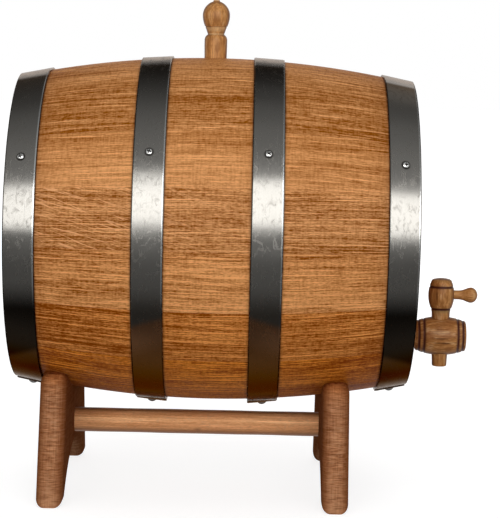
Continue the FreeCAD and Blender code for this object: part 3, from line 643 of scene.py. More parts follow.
def mark_strip(piece, place, number):
    """Coordinates on a strip: round the cask, across the strip and out from it; how low, how high and how
    far towards an end a place lies; and how near it is to the edge with painted shadow, the arris with a
    painted highlight and a screw."""
    out, angle, across, _ = strip_places(piece, place)
    x, _, z = (corners_of(piece) - CASK_MIDDLE).T
    half = strip_lie(place)[3] / 2
    keep(piece, strip=np.stack([angle * out, across, out], axis=1) + 0.7 * number,
         strip_below=-z / BILGE_RADIUS, strip_above=z / out, strip_far=np.abs(x) / HALF_LENGTH,
         strip_edge=np.clip(1 - (half + across) / SHADOW_EDGE_WIDTH, 0, 1),
         strip_arris=np.clip(1 - np.abs(half - across - ARRIS_INSET) / ARRIS_WIDTH, 0, 1),
         from_screw=np.stack([(np.abs(angle) - SCREW_ANGLE) * out, across, 0 * out], axis=1))


# The third and fourth tones below are painted shadow and painted highlight; the next four paint dark and
# brown reflections on the lower half of the hoops.
STEEL = (0.160, 0.154, 0.142, 1)
STEEL_DARK = (0.120, 0.112, 0.100, 1)
STEEL_PAINTED_SHADOW = (0.028, 0.024, 0.020, 1)
STEEL_PAINTED_HIGHLIGHT = (0.700, 0.720, 0.720, 1)
STEEL_SHADE = (0.060, 0.054, 0.046, 1)
STEEL_REFLECTED_BLACK = (0.011, 0.009, 0.007, 1)
STEEL_REFLECTED_BROWN = (0.125, 0.062, 0.031, 1)
STEEL_REFLECTED_DARK_BROWN = (0.060, 0.026, 0.009, 1)
STEEL_GRAZING = (0.50, 0.41, 0.35, 1)


def hoop_steel():
    """Cold-rolled steel strip, bright and smooth, with roll lines along it, dull handling marks and fine
    scratches. Painted on it are shadow along one edge and round each screw head, a highlight along the other
    arris and along the top, and dark grey to brown reflections on its lower half, darkest on the end hoops."""
    material, tree, shader = new_material("hoop_steel")
    strip = kept(tree, "strip", "Vector")
    dull = ramp(drawn_noise(strip, (130.0, 170.0, 40.0), 4.0, 0.65, 1.2), 0.48, 0.72)
    rolled = drawn_noise(strip, (9.0, 1300.0, 40.0))
    scratch = ramp(drawn_noise(strip, (50.0, 700.0, 40.0), 1.0, 0.5, 0.8), 0.66, 0.78)
    waves = drawn_noise(strip, (45.0, 60.0, 40.0))
    below, far = kept(tree, "strip_below"), kept(tree, "strip_far")
    under = below - far * 0.36
    black_reflection = ramp(far, 0.4, 0.8, 0.0, 0.75) * ramp(under, 0.2, 0.3)
    # A ring round each screw head, where shadow is painted on the hoop.
    reach = vector_step("LENGTH", kept(tree, "from_screw", "Vector"))["Value"]
    ring = ramp(reach, (SCREW_HEAD_RADIUS + 1.3) * MM, (SCREW_HEAD_RADIUS + 0.3) * MM)
    colour = blended(dull * 0.5, STEEL, STEEL_DARK)
    # Laid over the steel: a painted highlight on one arris and along the top, painted dark and brown
    # reflections on the lower half, darkest on the end hoops, and painted shadow along the other edge and
    # round each screw head.
    for share, tone in (
            (kept(tree, "strip_arris") * 0.6, STEEL_PAINTED_HIGHLIGHT),
            (ramp(below, 0.22, 0.40), blended(ramp(far, 0.4, 0.8), STEEL_SHADE, STEEL_REFLECTED_BLACK)),
            (ramp(kept(tree, "strip_above"), 0.948, 0.964), STEEL_PAINTED_HIGHLIGHT),
            (ramp(under, 0.31, 0.36), STEEL_REFLECTED_BROWN),
            (ramp(under, 0.36, 0.55), STEEL_REFLECTED_DARK_BROWN),
            (black_reflection, STEEL_REFLECTED_BLACK),
            (kept(tree, "strip_edge") * 0.5, STEEL_PAINTED_SHADOW),
            (ring * 0.85, STEEL_PAINTED_SHADOW)):
        colour = blended(share, colour, tone)
    feed(shader, {"Base Color": colour, "Roughness": dull * 0.14 + 0.17 + rolled * 0.08 + scratch * 0.08,
                  "Metallic": 1.0, "Specular Tint": STEEL_GRAZING,
                  "Normal": relief(waves + rolled * 0.10 - scratch * 0.03, 0.5, 0.12 * MM)})
    return material


HOOP_STEEL = hoop_steel()
for hoop_number, (hoop_name, hoop_place) in enumerate(HOOPS.items()):
    steel_hoop = hoop_strip("steel_" + hoop_name, hoop_place, hoop_number)
    mark_strip(steel_hoop, hoop_place, hoop_number)
    finish_piece(steel_hoop, HOOP_STEEL)
    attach(steel_hoop, "cask")
    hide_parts(hoop_name)

# ------------------------------------------------------------
# Two domed steel rivets close each lap. They are set cold through both layers, side by side along the
# strip, and have darkened with handling.

RIVET_ANGLES = (math.radians(175.5), math.radians(184.5))
RIVET_RADIUS = 2.0
RIVET_HEAD_RADIUS = 4.0
RIVET_HEAD_HEIGHT = 2.4
RIVET_COLOUR = (0.110, 0.105, 0.100, 1)
# Grime in a recess, and painted shadow at the rim of a screw head.
GRIME_AND_SHADOW = (0.020, 0.016, 0.013, 1)


def arc_through(start, via, end, count):
    """Places along the circular arc through three points of a profile, as two arrays."""
    (ax, ay), (bx, by), (cx, cy) = start, via, end
    turn = 2 * (ax * (by - cy) + bx * (cy - ay) + cx * (ay - by))
    squares = [ax * ax + ay * ay, bx * bx + by * by, cx * cx + cy * cy]
    mid_x = (squares[0] * (by - cy) + squares[1] * (cy - ay) + squares[2] * (ay - by)) / turn
    mid_y = (squares[0] * (cx - bx) + squares[1] * (ax - cx) + squares[2] * (bx - ax)) / turn
    angles = np.unwrap([math.atan2(y - mid_y, x - mid_x) for x, y in (start, via, end)])
    swept = np.linspace(angles[0], angles[2], count)
    size = math.hypot(ax - mid_x, ay - mid_y)
    return mid_x + size * np.cos(swept), mid_y + size * np.sin(swept)


def profile(*stretches):
    """An outline in millimetres, turned to metres: each stretch is a point or the two arrays of an arc."""
    return [np.concatenate([np.atleast_1d(stretch[way]) for stretch in stretches]) * MM for way in (0, 1)]


def dome(radius, low, high, count):
    """Part of a sphere that closes a turning, up to its axis."""
    rise = high - low
    sphere = (radius ** 2 + rise ** 2) / (2 * rise)
    swept = np.linspace(math.asin(radius / sphere), 0, count)
    return sphere * np.sin(swept), high - sphere + sphere * np.cos(swept)


def on_strip(outline, place, height, angle, segments=48, dent=None, spin=0.0):
    """Points of a turning set square on a strip at a height above its inner face. A dent lowers its top."""
    radii, up = np.array(outline)[..., None]
    swing = np.linspace(0, 2 * math.pi, segments, endpoint=False)
    a, b = radii * np.cos(swing), radii * np.sin(swing)
    if dent is not None:
        cos, sin = math.cos(spin), math.sin(spin)
        up = up - dent(a * cos - b * sin, a * sin + b * cos) * (up > 0.2 * MM)
    return round_cask(*off_strip(place, a, up + height), angle, b)


def fixing_grime_and_shadow_group():
    """Small dull spots all over a plated or bare fixing, and a dark tone in its hollows: grime in a recess,
    painted shadow at the rim of a screw head.
    """
    group, given, result = new_group(
        "fixing_grime_and_shadow", {"Place": ORIGIN, "Hollow": 0.0, "Colour": RIVET_COLOUR},
        {"Colour": 4, "Roughness": 1, "Height": 1})
    spots = drawn_noise(given["Place"], (900.0, 900.0, 900.0), 3.0, 0.6)
    worn = ramp(spots, 0.5, 0.75)
    colour = blended(given["Hollow"], blended(worn * 0.45, given["Colour"], GRIME_AND_SHADOW), GRIME_AND_SHADOW)
    feed(result, {"Colour": colour, "Roughness": worn * 0.2, "Height": spots})
    return group


FIXING_GRIME_AND_SHADOW = fixing_grime_and_shadow_group()


def fixing_metal(name, colour, roughness):
    """Plated or bare fixing steel with its grime, and painted shadow at the rim of a screw head."""
    material, tree, shader = new_material(name)
    grime = add_node(tree, "Group", {"Place": object_place(tree), "Hollow": kept(tree, "hollow"),
                                     "Colour": colour}, node_tree=FIXING_GRIME_AND_SHADOW)
    feed(shader, {"Base Color": grime, "Roughness": grime["Roughness"] + roughness, "Metallic": 1.0,
                  "Normal": relief(grime["Height"], 0.4, 0.05 * MM)})
    return material


RIVET_STEEL = fixing_metal("rivet_steel", RIVET_COLOUR, 0.30)
RIVET_OUTLINE = profile(
    (0.0, -3.0), (RIVET_RADIUS, -3.0), (RIVET_RADIUS, 0.0), (RIVET_HEAD_RADIUS - 0.1, 0.0),
    (RIVET_HEAD_RADIUS, 0.15), dome(RIVET_HEAD_RADIUS, 0.2, RIVET_HEAD_HEIGHT, 14))
for hoop_name, hoop_place in HOOPS.items():
    rivets = loop_solid("set_" + hoop_name + "_rivets", *(
        on_strip(RIVET_OUTLINE, hoop_place, 2 * HOOP_THICKNESS, angle) for angle in RIVET_ANGLES))
    keep(rivets, hollow=0.0)
    finish_piece(rivets, RIVET_STEEL)
    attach(rivets, "cask")
    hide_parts(hoop_name + "_rivets")

# ------------------------------------------------------------
# One small zinc-plated pan-head screw pins each hoop to a stave on both sides of the cask, so that
# the hoop can't creep when the wood dries. The heads have a cross recess.

CROSS_HALF_WIDTH = 0.42 * MM
CROSS_HALF_LENGTH = 1.65 * MM
CROSS_DEPTH = 1.2 * MM
CROSS_SLOPE = 0.25 * MM
BARE_HEIGHT, GRIME_SLOPE = 1.25 * MM, 0.5 * MM
SCREW_SPINS = (0.3, 1.1, 0.7, 0.1, 0.9, 0.4, 1.3, 0.6)
SCREW_COLOUR = (0.620, 0.620, 0.600, 1)
SCREW_OUTLINE = profile(
    (0.0, -11.0), (1.3, -9.0), (1.3, 0.0), (SCREW_HEAD_RADIUS - 0.1, 0.0), (SCREW_HEAD_RADIUS, 0.1),
    dome(SCREW_HEAD_RADIUS, 0.6, 1.7, 30))


def cross_recess(a, b):
    """Depth of the cross recess: full inside either arm and none outside, with half of a soft slope each
    side of the arms' edge."""
    a, b = np.abs(a), np.abs(b)
    upright = np.maximum(a - CROSS_HALF_WIDTH, b - CROSS_HALF_LENGTH)
    level = np.maximum(b - CROSS_HALF_WIDTH, a - CROSS_HALF_LENGTH)
    inside = np.clip(0.5 - np.minimum(upright, level) / CROSS_SLOPE, 0, 1)
    return CROSS_DEPTH * inside * inside * (3 - 2 * inside)


def below_dome(piece):
    """1 for what lies up to 0.75 mm above its strip, in a recess or at the rim of a head, and 0 from 1.25 mm
    up, on the open dome. The recess is grime and the rim painted shadow."""
    hollow = np.zeros(len(piece.data.vertices))
    for place in HOOPS.values():
        _, _, across, up = strip_places(piece, place)
        depth = np.clip((BARE_HEIGHT - up + HOOP_THICKNESS) / GRIME_SLOPE, 0, 1)
        hollow = np.where(np.abs(across) < HOOP_WIDTH / 2, depth, hollow)
    return hollow


SCREW_PLACES = [(side * SCREW_ANGLE, place) for side in (1, -1) for place in HOOPS.values()]
screws = loop_solid("cross_head_screws", *(
    on_strip(SCREW_OUTLINE, place, HOOP_THICKNESS, angle, 96, cross_recess, spin)
    for (angle, place), spin in zip(SCREW_PLACES, SCREW_SPINS)))
keep(screws, hollow=below_dome(screws))
finish_piece(screws, fixing_metal("screw_zinc", SCREW_COLOUR, 0.22), 50.0)
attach(screws, "cask")
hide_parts("hoop_screws")

# ------------------------------------------------------------
# The bung is turned from one piece of oak: a tapered plug, a straight stem to hold, a necked waist and
# a round knob with the stub that the lathe leaves. It is pushed in by hand and pulls straight out.

BUNG_PLACE = (CASK_X + BUNG_X, 0, CASK_Z + outer_radius(BUNG_X))
# The bung's pale bands: the one round the collar is a painted highlight.
BUNG_PALE_AND_HIGHLIGHT = ((24.3, 1.2), (19.8, 0.6), (47.8, 0.6))
TURNED_DARK = (0.260, 0.092, 0.022, 1)
TURNED_LIGHT = (0.640, 0.310, 0.100, 1)
# A dark pore tone, also used for painted shade towards the outline.
TURNED_PORE_AND_SHADE = (0.120, 0.040, 0.012, 1)
TURNED_PALE = (0.760, 0.520, 0.270, 1)
BURNT = (0.060, 0.014, 0.007, 1)


def mark_turning(piece, middle, axis, shift, burnt=(), pale=()):
    """Wood coordinates of a turning whose grain runs along its axis, and how near each place along it is to
    a burnt ring or to a pale band, which is freshly cut wood except on the bung's collar, where it is a
    painted highlight: (place, half width) in millimetres."""
    spots = (corners_of(piece) - middle)[:, {"X": [0, 1, 2], "Z": [2, 1, 0]}[axis]]
    marks = {"grain": spots + np.array([0.13, 0.31, 0.23]) * shift}
    for name, bands in (("burnt", burnt), ("pale", pale)):
        marks[name] = np.zeros(len(spots))
        for place, half in bands:
            share = np.clip(1.5 - np.abs(spots[:, 0] / MM - place) / half, 0, 1)
            marks[name] = np.maximum(marks[name], share)
    keep(piece, **marks)


def turned_tone_group():
    """The uneven tone of turned wood: darker and paler patches along its grain, and the fine rings that the
    tool leaves across it."""
    group, given, result = new_group(
        "turned_tone", {"Grain": ORIGIN, "Colour": TURNED_LIGHT}, {"Colour": 4, "Rings": 1})
    patches = drawn_noise(given["Grain"], (70.0, 260.0, 260.0), 2.0, 0.6)
    colour = blended(ramp(patches, 0.46, 0.66, 0.0, 0.65), given["Colour"], TURNED_DARK)
    colour = blended(ramp(patches, 0.46, 0.30, 0.0, 0.35), colour, TURNED_PALE)
    feed(result, {"Colour": colour, "Rings": drawn_noise(given["Grain"], (900.0, 20.0, 20.0))})
    return group


def wood_spot_group():
    """A streak or knot in the wood: full at the middle of an ellipsoid, fading unevenly to its rim."""
    group, given, result = new_group(
        "wood_spot", {"Place": ORIGIN, "Middle": ORIGIN, "Size": (1.0, 1.0, 1.0), "Full": 1.0}, {"Share": 1})
    place = vector_step("DIVIDE", vector_step("SUBTRACT", given["Place"], given["Middle"]), given["Size"])
    uneven = drawn_noise(place, (1.6, 1.6, 1.6), 2.0, 0.6) * 1.2 - 0.6
    share = ramp(vector_step("LENGTH", place)["Value"] + uneven, 0.35, 1.0, given["Full"], 0.0)
    feed(result, {"Share": share})
    return group


TURNED_TONE = turned_tone_group()
WOOD_SPOT = wood_spot_group()


def edge_on_shade(tree, low, high):
    """0 where a surface faces the viewer, 1 where it is seen edge on, for shade painted towards its outline.
    """
    return ramp(add_node(tree, "LayerWeight", (), "Facing"), low, high)


def turned_wood(name, gold, coarse, band=TURNED_PALE, dark_spots=(), pale_spots=()):
    """Turned and oiled hardwood, with burnt rings, pale bands in their own tone (freshly cut wood, and on
    the bung's collar a painted highlight), dark streaks and pale patches where the piece has them, and
    painted shade towards its outline. Each spot is its middle, its size and its share at the middle."""
    material, tree, shader = new_material(name)
    grain = kept(tree, "grain", "Vector")
    figure = wood_figure(grain, gold, coarse, 0.0, TURNED_DARK, TURNED_LIGHT)
    tone = add_node(tree, "Group", {"Grain": grain, "Colour": figure["Colour"]}, node_tree=TURNED_TONE)
    colour = tone["Colour"]
    for spot_tone, spots in ((TURNED_PALE, pale_spots), (TURNED_PORE_AND_SHADE, dark_spots)):
        for middle, size, full in spots:
            spot = add_node(tree, "Group", {"Place": object_place(tree), "Middle": middle, "Size": size,
                                            "Full": full}, node_tree=WOOD_SPOT)
            colour = blended(spot, colour, spot_tone)
    colour = blended(kept(tree, "pale") * 0.5, colour, band)
    colour = blended(ramp(tone["Rings"], 0.55, 0.75) * 0.12, colour, TURNED_PORE_AND_SHADE)
    # Painted shade towards the outline.
    colour = blended(edge_on_shade(tree, 0.25, 0.75) * 0.7, colour, TURNED_PORE_AND_SHADE)
    feed(shader, {"Base Color": blended(kept(tree, "burnt"), colour, BURNT),
                  "Roughness": figure["Roughness"] + 0.38, "Specular IOR Level": 0.10,
                  "Normal": relief(figure["Height"] + tone["Rings"] * 0.2, 0.4, 0.12 * MM)})
    return material


bung = turned_solid("turned_bung", profile(
    (0.0, -20.0), (7.6, -20.0), (7.75, -19.8), (9.3, 0.0), (9.4, 5.0), (9.5, 10.0), (9.5, 14.0),
    arc_through((9.5, 14.8), (8.8, 17.44), (6.95, 19.35), 10), (6.85, 19.75), (6.95, 20.2), (7.3, 21.1),
    (8.1, 23.4), (8.8, 25.2), (8.85, 25.5), (8.55, 25.8), (8.55, 25.95), (9.2, 26.15),
    arc_through((9.45, 26.5), (10.88, 30.9), (11.35, 35.6), 14),
    arc_through((11.34, 36.2), (8.03, 43.6), (3.0, 46.8), 20),
    (2.8, 46.95), (2.6, 47.6), (2.45, 48.1), (2.2, 48.2), (0.0, 48.2)), "Z", BUNG_PLACE)
mark_turning(bung, BUNG_PLACE, "Z", 1, pale=BUNG_PALE_AND_HIGHLIGHT)
finish_piece(bung, turned_wood("bung_oak", 0.70, 0.12))
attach(bung, "bung")
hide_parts("bung")

# ------------------------------------------------------------
# The tap. A turned barrel-shaped body with a long tapered shank is driven into the front head. It has
# two burnt rings at each end, is bored through the shank, and has a tapered hole for the key.

TAP_RINGS = (-18.6, -14.3, 14.3, 18.6)
RING_HALF_WIDTH = 0.7
RING_DEPTH = 0.35
SHANK_TIP = -75.5
BARREL_END = 20.4
BARREL_RADIUS = 16.4
BARREL_END_RADIUS = 12.7
KEY_PLUG_RADIUS = 7.1
KEY_TAPER = 0.03
KEY_HOLE_REACH = 19.4
BORE_RADIUS = 3.5


def spot_at(x, y, z, long, deep, high, share):
    """A spot in the tap: its middle as seen from the tap's middle and its size, in millimetres, and its
    share."""
    return (KEY_X + x * MM, y * MM, TAP_PLACE[2] + z * MM), (long * MM, deep * MM, high * MM), share


TAP_DARK_SPOTS = (
    spot_at(1.5, -16.0, -4.3, 10.0, 7.0, 1.1, 0.9), spot_at(-0.8, -16.0, -0.5, 7.5, 7.0, 1.0, 0.7))
TAP_PALE_SPOTS = (spot_at(-1.0, -15.0, 4.6, 11.0, 7.0, 2.6, 0.20),)


def ringed(lengths, radii, rings):
    """The radii with a shallow round-bottomed groove at each ring, all in millimetres."""
    away = np.abs(lengths[:, None] - rings).min(axis=1)
    return radii - RING_DEPTH * np.clip(1.3 - away / RING_HALF_WIDTH, 0, 1) ** 0.5


def ring_places(low, high, rings):
    """Places from low to high, closer together at the rings, in millimetres."""
    near = np.array([-1.2, -0.9, -0.7, -0.45, -0.2, 0.0, 0.2, 0.45, 0.7, 0.9, 1.2])
    places = np.r_[np.linspace(low, high, 45), np.add.outer(rings, near).ravel()]
    return np.unique(places[(places >= low) & (places <= high)])


def tap_outline():
    """Barrel arc with end bevels and rings, and the tapered shank."""
    drop = BARREL_RADIUS - BARREL_END_RADIUS
    sweep = (BARREL_END ** 2 + drop ** 2) / (2 * drop)
    run = ring_places(-BARREL_END, BARREL_END, TAP_RINGS)
    arc = ringed(run, BARREL_RADIUS - sweep + np.sqrt(sweep ** 2 - run ** 2), TAP_RINGS)
    tip_radius = SHANK_RADIUS / MM + SHANK_TAPER * (SHANK_TIP + TAP_HALF_LENGTH / MM)
    return profile(
        (0.0, SHANK_TIP), (tip_radius - 0.5, SHANK_TIP), (tip_radius, SHANK_TIP + 0.5),
        (SHANK_RADIUS / MM, -21.2), (11.9, -21.2), (12.4, -20.8), (arc, run), (12.4, 20.9), (11.9, 21.2),
        (9.0, 21.25), (0.0, 21.2))


KEY_HOLE_RADII = [(KEY_PLUG_RADIUS + side * KEY_TAPER * KEY_HOLE_REACH + 0.08) * MM for side in (-1, 1)]
tap_piece = cut_away(
    turned_solid("turned_tap_body", tap_outline(), "X", TAP_PLACE),
    hole("Z", TAP_PLACE, -KEY_HOLE_REACH * MM, KEY_HOLE_REACH * MM, *KEY_HOLE_RADII),
    hole("X", TAP_PLACE, -90.0 * MM, 0, BORE_RADIUS * MM, segments=48))
mark_turning(tap_piece, TAP_PLACE, "X", 2, burnt=[(ring, 1.15) for ring in TAP_RINGS])
finish_piece(tap_piece, turned_wood("tap_wood", 0.28, 0.20, TURNED_PALE, TAP_DARK_SPOTS, TAP_PALE_SPOTS))
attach(tap_piece, "cask")
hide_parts("tap_body")

# ------------------------------------------------------------
# The key. Its tapered plug turns in the body, a port across the plug meets the bore, and the spout
# below carries the spirit out. The head above is turned like a small barrel, with two burnt rings.

KEY_RINGS = (23.2, 42.0)
KEY_NECK = np.array([19.5, 20.5, 21.5, 22.3, 22.7])
KEY_SHOULDER, KEY_HEAD_TOP = 23.2, 46.2
KEY_PALE = ((52.5, 4.5), (21.5, 1.6))
KEY_WORN = (0.300, 0.210, 0.085, 1)
KEY_DARK_SPOTS = (spot_at(-4.6, -11.0, 34.5, 1.5, 7.0, 6.5, 0.7),)
PORT_RADIUS = 3.0
PEG_HOLE_RADIUS = 3.95
HANDLE_PLACE = (KEY_X, 0, TAP_PLACE[2] + 35.2 * MM)


def key_outline():
    """Bore, spout, plug, neck, ringed head and crown. The head's radius is on the arc through its foot, its
    widest part and its top; the neck's grows with the height above its foot, to the power of 1.5."""
    run = np.r_[KEY_NECK, ring_places(KEY_SHOULDER, KEY_HEAD_TOP, KEY_RINGS)]
    arc_radii, arc_heights = arc_through((8.485, KEY_SHOULDER), (11.0, 34.3), (8.8, KEY_HEAD_TOP), 60)
    head = np.interp(run, arc_heights, arc_radii)
    neck = 7.685 + 0.8 * ((run - KEY_NECK[0]) / (KEY_SHOULDER - KEY_NECK[0])) ** 1.5
    radii = ringed(run, np.where(run < KEY_SHOULDER, neck, head), KEY_RINGS)
    return profile(
        (0.0, 4.5), (3.0, 4.5), (3.0, -25.9), (5.0, -25.9), (5.6, -25.75), (6.0, -25.35), (6.2, -24.7),
        (6.45, -18.6), (6.608, -16.4), (7.1, 0.0), (7.592, 16.4), (radii, run), (8.3, 47.4), (7.2, 48.2),
        dome(7.0, 48.3, 49.3, 8))


key_piece = cut_away(
    turned_solid("turned_tap_key", key_outline(), "Z", TAP_PLACE),
    hole("Y", TAP_PLACE, -14.0 * MM, 14.0 * MM, PORT_RADIUS * MM, segments=48),
    hole("X", HANDLE_PLACE, 5.0 * MM, 21.0 * MM, PEG_HOLE_RADIUS * MM, segments=48))
mark_turning(key_piece, TAP_PLACE, "Z", 3, burnt=[(ring, 1.0) for ring in KEY_RINGS], pale=KEY_PALE)
finish_piece(key_piece, turned_wood("key_wood", 0.44, 0.10, KEY_WORN, KEY_DARK_SPOTS))
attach(key_piece, "tap_key")
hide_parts("tap_key")

# ------------------------------------------------------------
# The handle is a turned peg with a ball end, glued into the side of the key's head.

NECK_RUN = np.linspace(0, 1, 22)
BALL_TURN = np.linspace(0, math.pi / 2, 14)[1:]
handle_piece = turned_solid("turned_tap_handle", profile(
    (0.0, 5.0), (3.8, 5.0), (3.9, 5.3), (3.85, 10.0), (3.85, 12.5),
    (3.85 + 2.65 * (0.5 - 0.5 * np.cos(math.pi * NECK_RUN ** 1.35)), 13.5 + 11.4 * NECK_RUN),
    (6.5 * np.cos(BALL_TURN), 24.9 + 5.7 * np.sin(BALL_TURN))), "X", HANDLE_PLACE, 72)
mark_turning(handle_piece, HANDLE_PLACE, "X", 4)
finish_piece(handle_piece, turned_wood("handle_wood", 0.56, 0.15))
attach(handle_piece, "tap_key")
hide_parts("tap_handle")

# ------------------------------------------------------------
# The cradle boards. Each is sawn from one plank with its grain level, arched below and hollowed above to
# the curve of the cask, and has its edges rounded over. The cask rests in them by its own weight.

BOARD_THICKNESS = 21.5 * MM
BOARD_ROUNDING = 7.0 * MM
BOARD_PLACES = {
    "cradle_back": HOOPS["back_chime_hoop"] + HOOP_WIDTH / 2 + 0.6 * MM + BOARD_THICKNESS / 2,
    "cradle_front": 102.7 * MM,
}
SADDLE_FIT = 0.3 * MM
HORN_ANGLE = math.radians(31.0)
HORN_WIDTH = 17.0
SHOULDER_WIDTH, SHOULDER_HEIGHT = 10.5, 10.0
FOOT_OUT = 112.0
FOOT_WORN = 30.0 * MM
CROWN_WORN = 14.0 * MM
ARCH_OUT, ARCH_HEIGHT = 90.0, 31.0
RAIL_RADIUS = 10.4 * MM
RAIL_FIT = 0.05 * MM
RAIL_PLACE = (CASK_X, 0, CASK_Z - BILGE_RADIUS - 22.3 * MM)
RAIL_DEPTH = 12.0 * MM
RAIL_LOW = BOARD_PLACES["cradle_back"] + BOARD_THICKNESS / 2 - RAIL_DEPTH
RAIL_HIGH = BOARD_PLACES["cradle_front"] - BOARD_THICKNESS / 2 + RAIL_DEPTH


def board_outline(place):
    """The board's outline across the cask and up, in metres: foot, splayed leg, rounded horn, the same
    back on the other side, and the arch between the feet."""
    saddle = (outer_radius(place) + SADDLE_FIT) / MM
    floor = -CASK_Z / MM
    horn_top = -saddle * math.cos(HORN_ANGLE)
    horn_out = saddle * math.sin(HORN_ANGLE) + HORN_WIDTH
    shoulder, low_shoulder = horn_out - SHOULDER_WIDTH, horn_top - SHOULDER_HEIGHT
    leg = np.r_[0.0, np.linspace(0.15, 1, 12)[:-1]]
    leg_y, leg_z = FOOT_OUT + (horn_out - FOOT_OUT) * leg, floor + (low_shoulder - floor) * leg
    bend_y, bend_z = arc_through(
        (horn_out, low_shoulder), (horn_out - 0.3 * SHOULDER_WIDTH, horn_top - 0.3 * SHOULDER_HEIGHT),
        (shoulder, horn_top), 8)
    arch_y, arch_z = arc_through((-ARCH_OUT, floor), (0.0, floor + ARCH_HEIGHT), (ARCH_OUT, floor), 41)
    y = np.r_[leg_y, bend_y, -bend_y[::-1], -leg_y[::-1], arch_y]
    z = np.r_[leg_z, bend_z, bend_z[::-1], leg_z[::-1], arch_z]
    return y * MM, z * MM + CASK_Z


def barrel_cutter():
    """The outside of the staves, larger by the clearance of the saddle, to cut with."""
    x = np.linspace(-HALF_LENGTH, HALF_LENGTH, 97)
    outline = np.r_[0.0, outer_radius(x) + SADDLE_FIT, 0.0], np.r_[x[0], x, x[-1]]
    return turned_solid("hole", outline, "X", CASK_MIDDLE, 288)


def inwards(y, z):
    """For each point of a closed outline, how it moves as the outline shrinks by one unit with its corners
    kept: the sum of the two edges' inward normals, over one plus their product."""
    edge_y, edge_z = np.roll(y, -1) - y, np.roll(z, -1) - z
    turning = np.sign((y * np.roll(z, -1) - np.roll(y, -1) * z).sum())
    length = np.hypot(edge_y, edge_z) * turning
    normal_y, normal_z = -edge_z / length, edge_y / length
    before_y, before_z = np.roll(normal_y, 1), np.roll(normal_z, 1)
    share = 1 + normal_y * before_y + normal_z * before_z
    return (normal_y + before_y) / share, (normal_z + before_z) / share


def cradle_board(name, place):
    """The outline carried across the plank's thickness, shrunk along a quarter circle towards each face,
    less the saddle and the rail's hole."""
    y, z = board_outline(place)
    move_y, move_z = inwards(y, z)
    shrunk, depth = quarter_round(BOARD_ROUNDING, 9)
    depth = depth - BOARD_THICKNESS / 2
    across = np.r_[depth, -depth[::-1]][:, None] + place + CASK_X
    shrunk = np.r_[shrunk, shrunk[::-1]][:, None]
    wide = RAIL_RADIUS + RAIL_FIT
    rail_hole = hole("X", RAIL_PLACE, RAIL_LOW - RAIL_FIT, RAIL_HIGH + RAIL_FIT, wide, wide)
    plank = loop_solid(name, points_at(across, y + move_y * shrunk, z + move_z * shrunk))
    piece = cut_away(plank, barrel_cutter(), rail_hole)
    piece.modifiers.new("level", "WEIGHTED_NORMAL").keep_sharp = True
    return piece


def mark_board(piece, shift):
    """Wood coordinates of a board: its grain runs level across the cask, and its rings stand close together
    upwards and far apart through its thickness. Its arrises are marked for painted shade, its feet and
    crowns for their wear."""
    x, y, z = corners_of(piece).T
    aside = np.abs(x - (x.min() + x.max()) / 2) / (BOARD_THICKNESS / 2)
    keep(piece, grain=np.stack([y, z, 0.15 * x], axis=1) + np.array([0.29, 0.47, 0.19]) * shift,
         arris=np.clip((aside - 0.30) / 0.55, 0, 1), foot=np.clip(1 - z / FOOT_WORN, 0, 1),
         crown=np.clip((z - z.max()) / CROWN_WORN + 1, 0, 1))


STAND_DARK = (0.200, 0.066, 0.022, 1)
STAND_LIGHT = (0.520, 0.235, 0.110, 1)
STAND_PORE = (0.080, 0.022, 0.008, 1)
STAND_RAY = (0.520, 0.280, 0.150, 1)
# Painted shade on arrises and towards the sides of a rounded bar.
STAND_SIDE_SHADE = (0.180, 0.050, 0.012, 1)
STAND_CROWN = (1.00, 0.78, 0.50, 1)
STAND_GRAZING = (1.0, 0.72, 0.40, 1)


def torn_flecks_group():
    """Pale flecks where the stain didn't take on torn fibres, gathered in patches."""
    group, given, result = new_group("torn_flecks", {"Place": ORIGIN}, {"Share": 1, "Height": 1})
    torn = drawn_noise(given["Place"], (260.0, 90.0, 520.0), 3.0, 0.6, 0.6)
    patches = drawn_noise(given["Place"], (60.0, 40.0, 35.0))
    share = ramp(torn, 0.52, 0.66) * ramp(patches, 0.35, 0.6, 0.25, 1.0)
    feed(result, {"Share": share, "Height": torn})
    return group


TORN_FLECKS = torn_flecks_group()


def stand_wood(name, gold, coarse, dark, light, sawn, rounded):
    """Red-brown stained oak with pale torn flecks. A sawn board has fine lines across and up its edges,
    painted shade on its arrises, paler feet and redder crowns. A rounded bar has shade painted towards its
    sides."""
    material, tree, shader = new_material(name)
    place = object_place(tree)
    figure = wood_figure(kept(tree, "grain", "Vector"), gold, coarse, 0.15 * sawn, dark, light)
    torn = add_node(tree, "Group", {"Place": place}, node_tree=TORN_FLECKS)
    colour = blended(torn["Share"] * 0.4 + kept(tree, "foot") * 0.35, figure["Colour"], STAND_RAY)
    for counts, share in (((1000.0, 70.0, 60.0), 0.24), ((110.0, 70.0, 1050.0), 0.36)):
        lines = drawn_noise(place, counts, 1.0)
        colour = blended(ramp(lines, 0.50, 0.64, 0.0, share * sawn), colour, STAND_PORE)
        colour = blended(ramp(lines, 0.46, 0.34, 0.0, share * sawn), colour, STAND_RAY)
    colour = blended(kept(tree, "knot") * 0.6, colour, STAND_PORE)
    colour = blended(kept(tree, "crown"), colour, STAND_CROWN, "MULTIPLY")
    # Painted shade on the arrises and towards the sides of a rounded bar.
    side = math_step("MAXIMUM", kept(tree, "arris"), edge_on_shade(tree, 0.02, 0.50 / max(rounded, 0.01)))
    feed(shader, {"Base Color": blended(side * 0.75, colour, STAND_SIDE_SHADE),
                  "Roughness": figure["Roughness"] + 0.40, "Specular IOR Level": 0.4 * rounded,
                  "Specular Tint": STAND_GRAZING,
                  "Normal": relief(figure["Height"] + torn["Height"] * 0.3, 0.5, 0.2 * MM)})
    return material


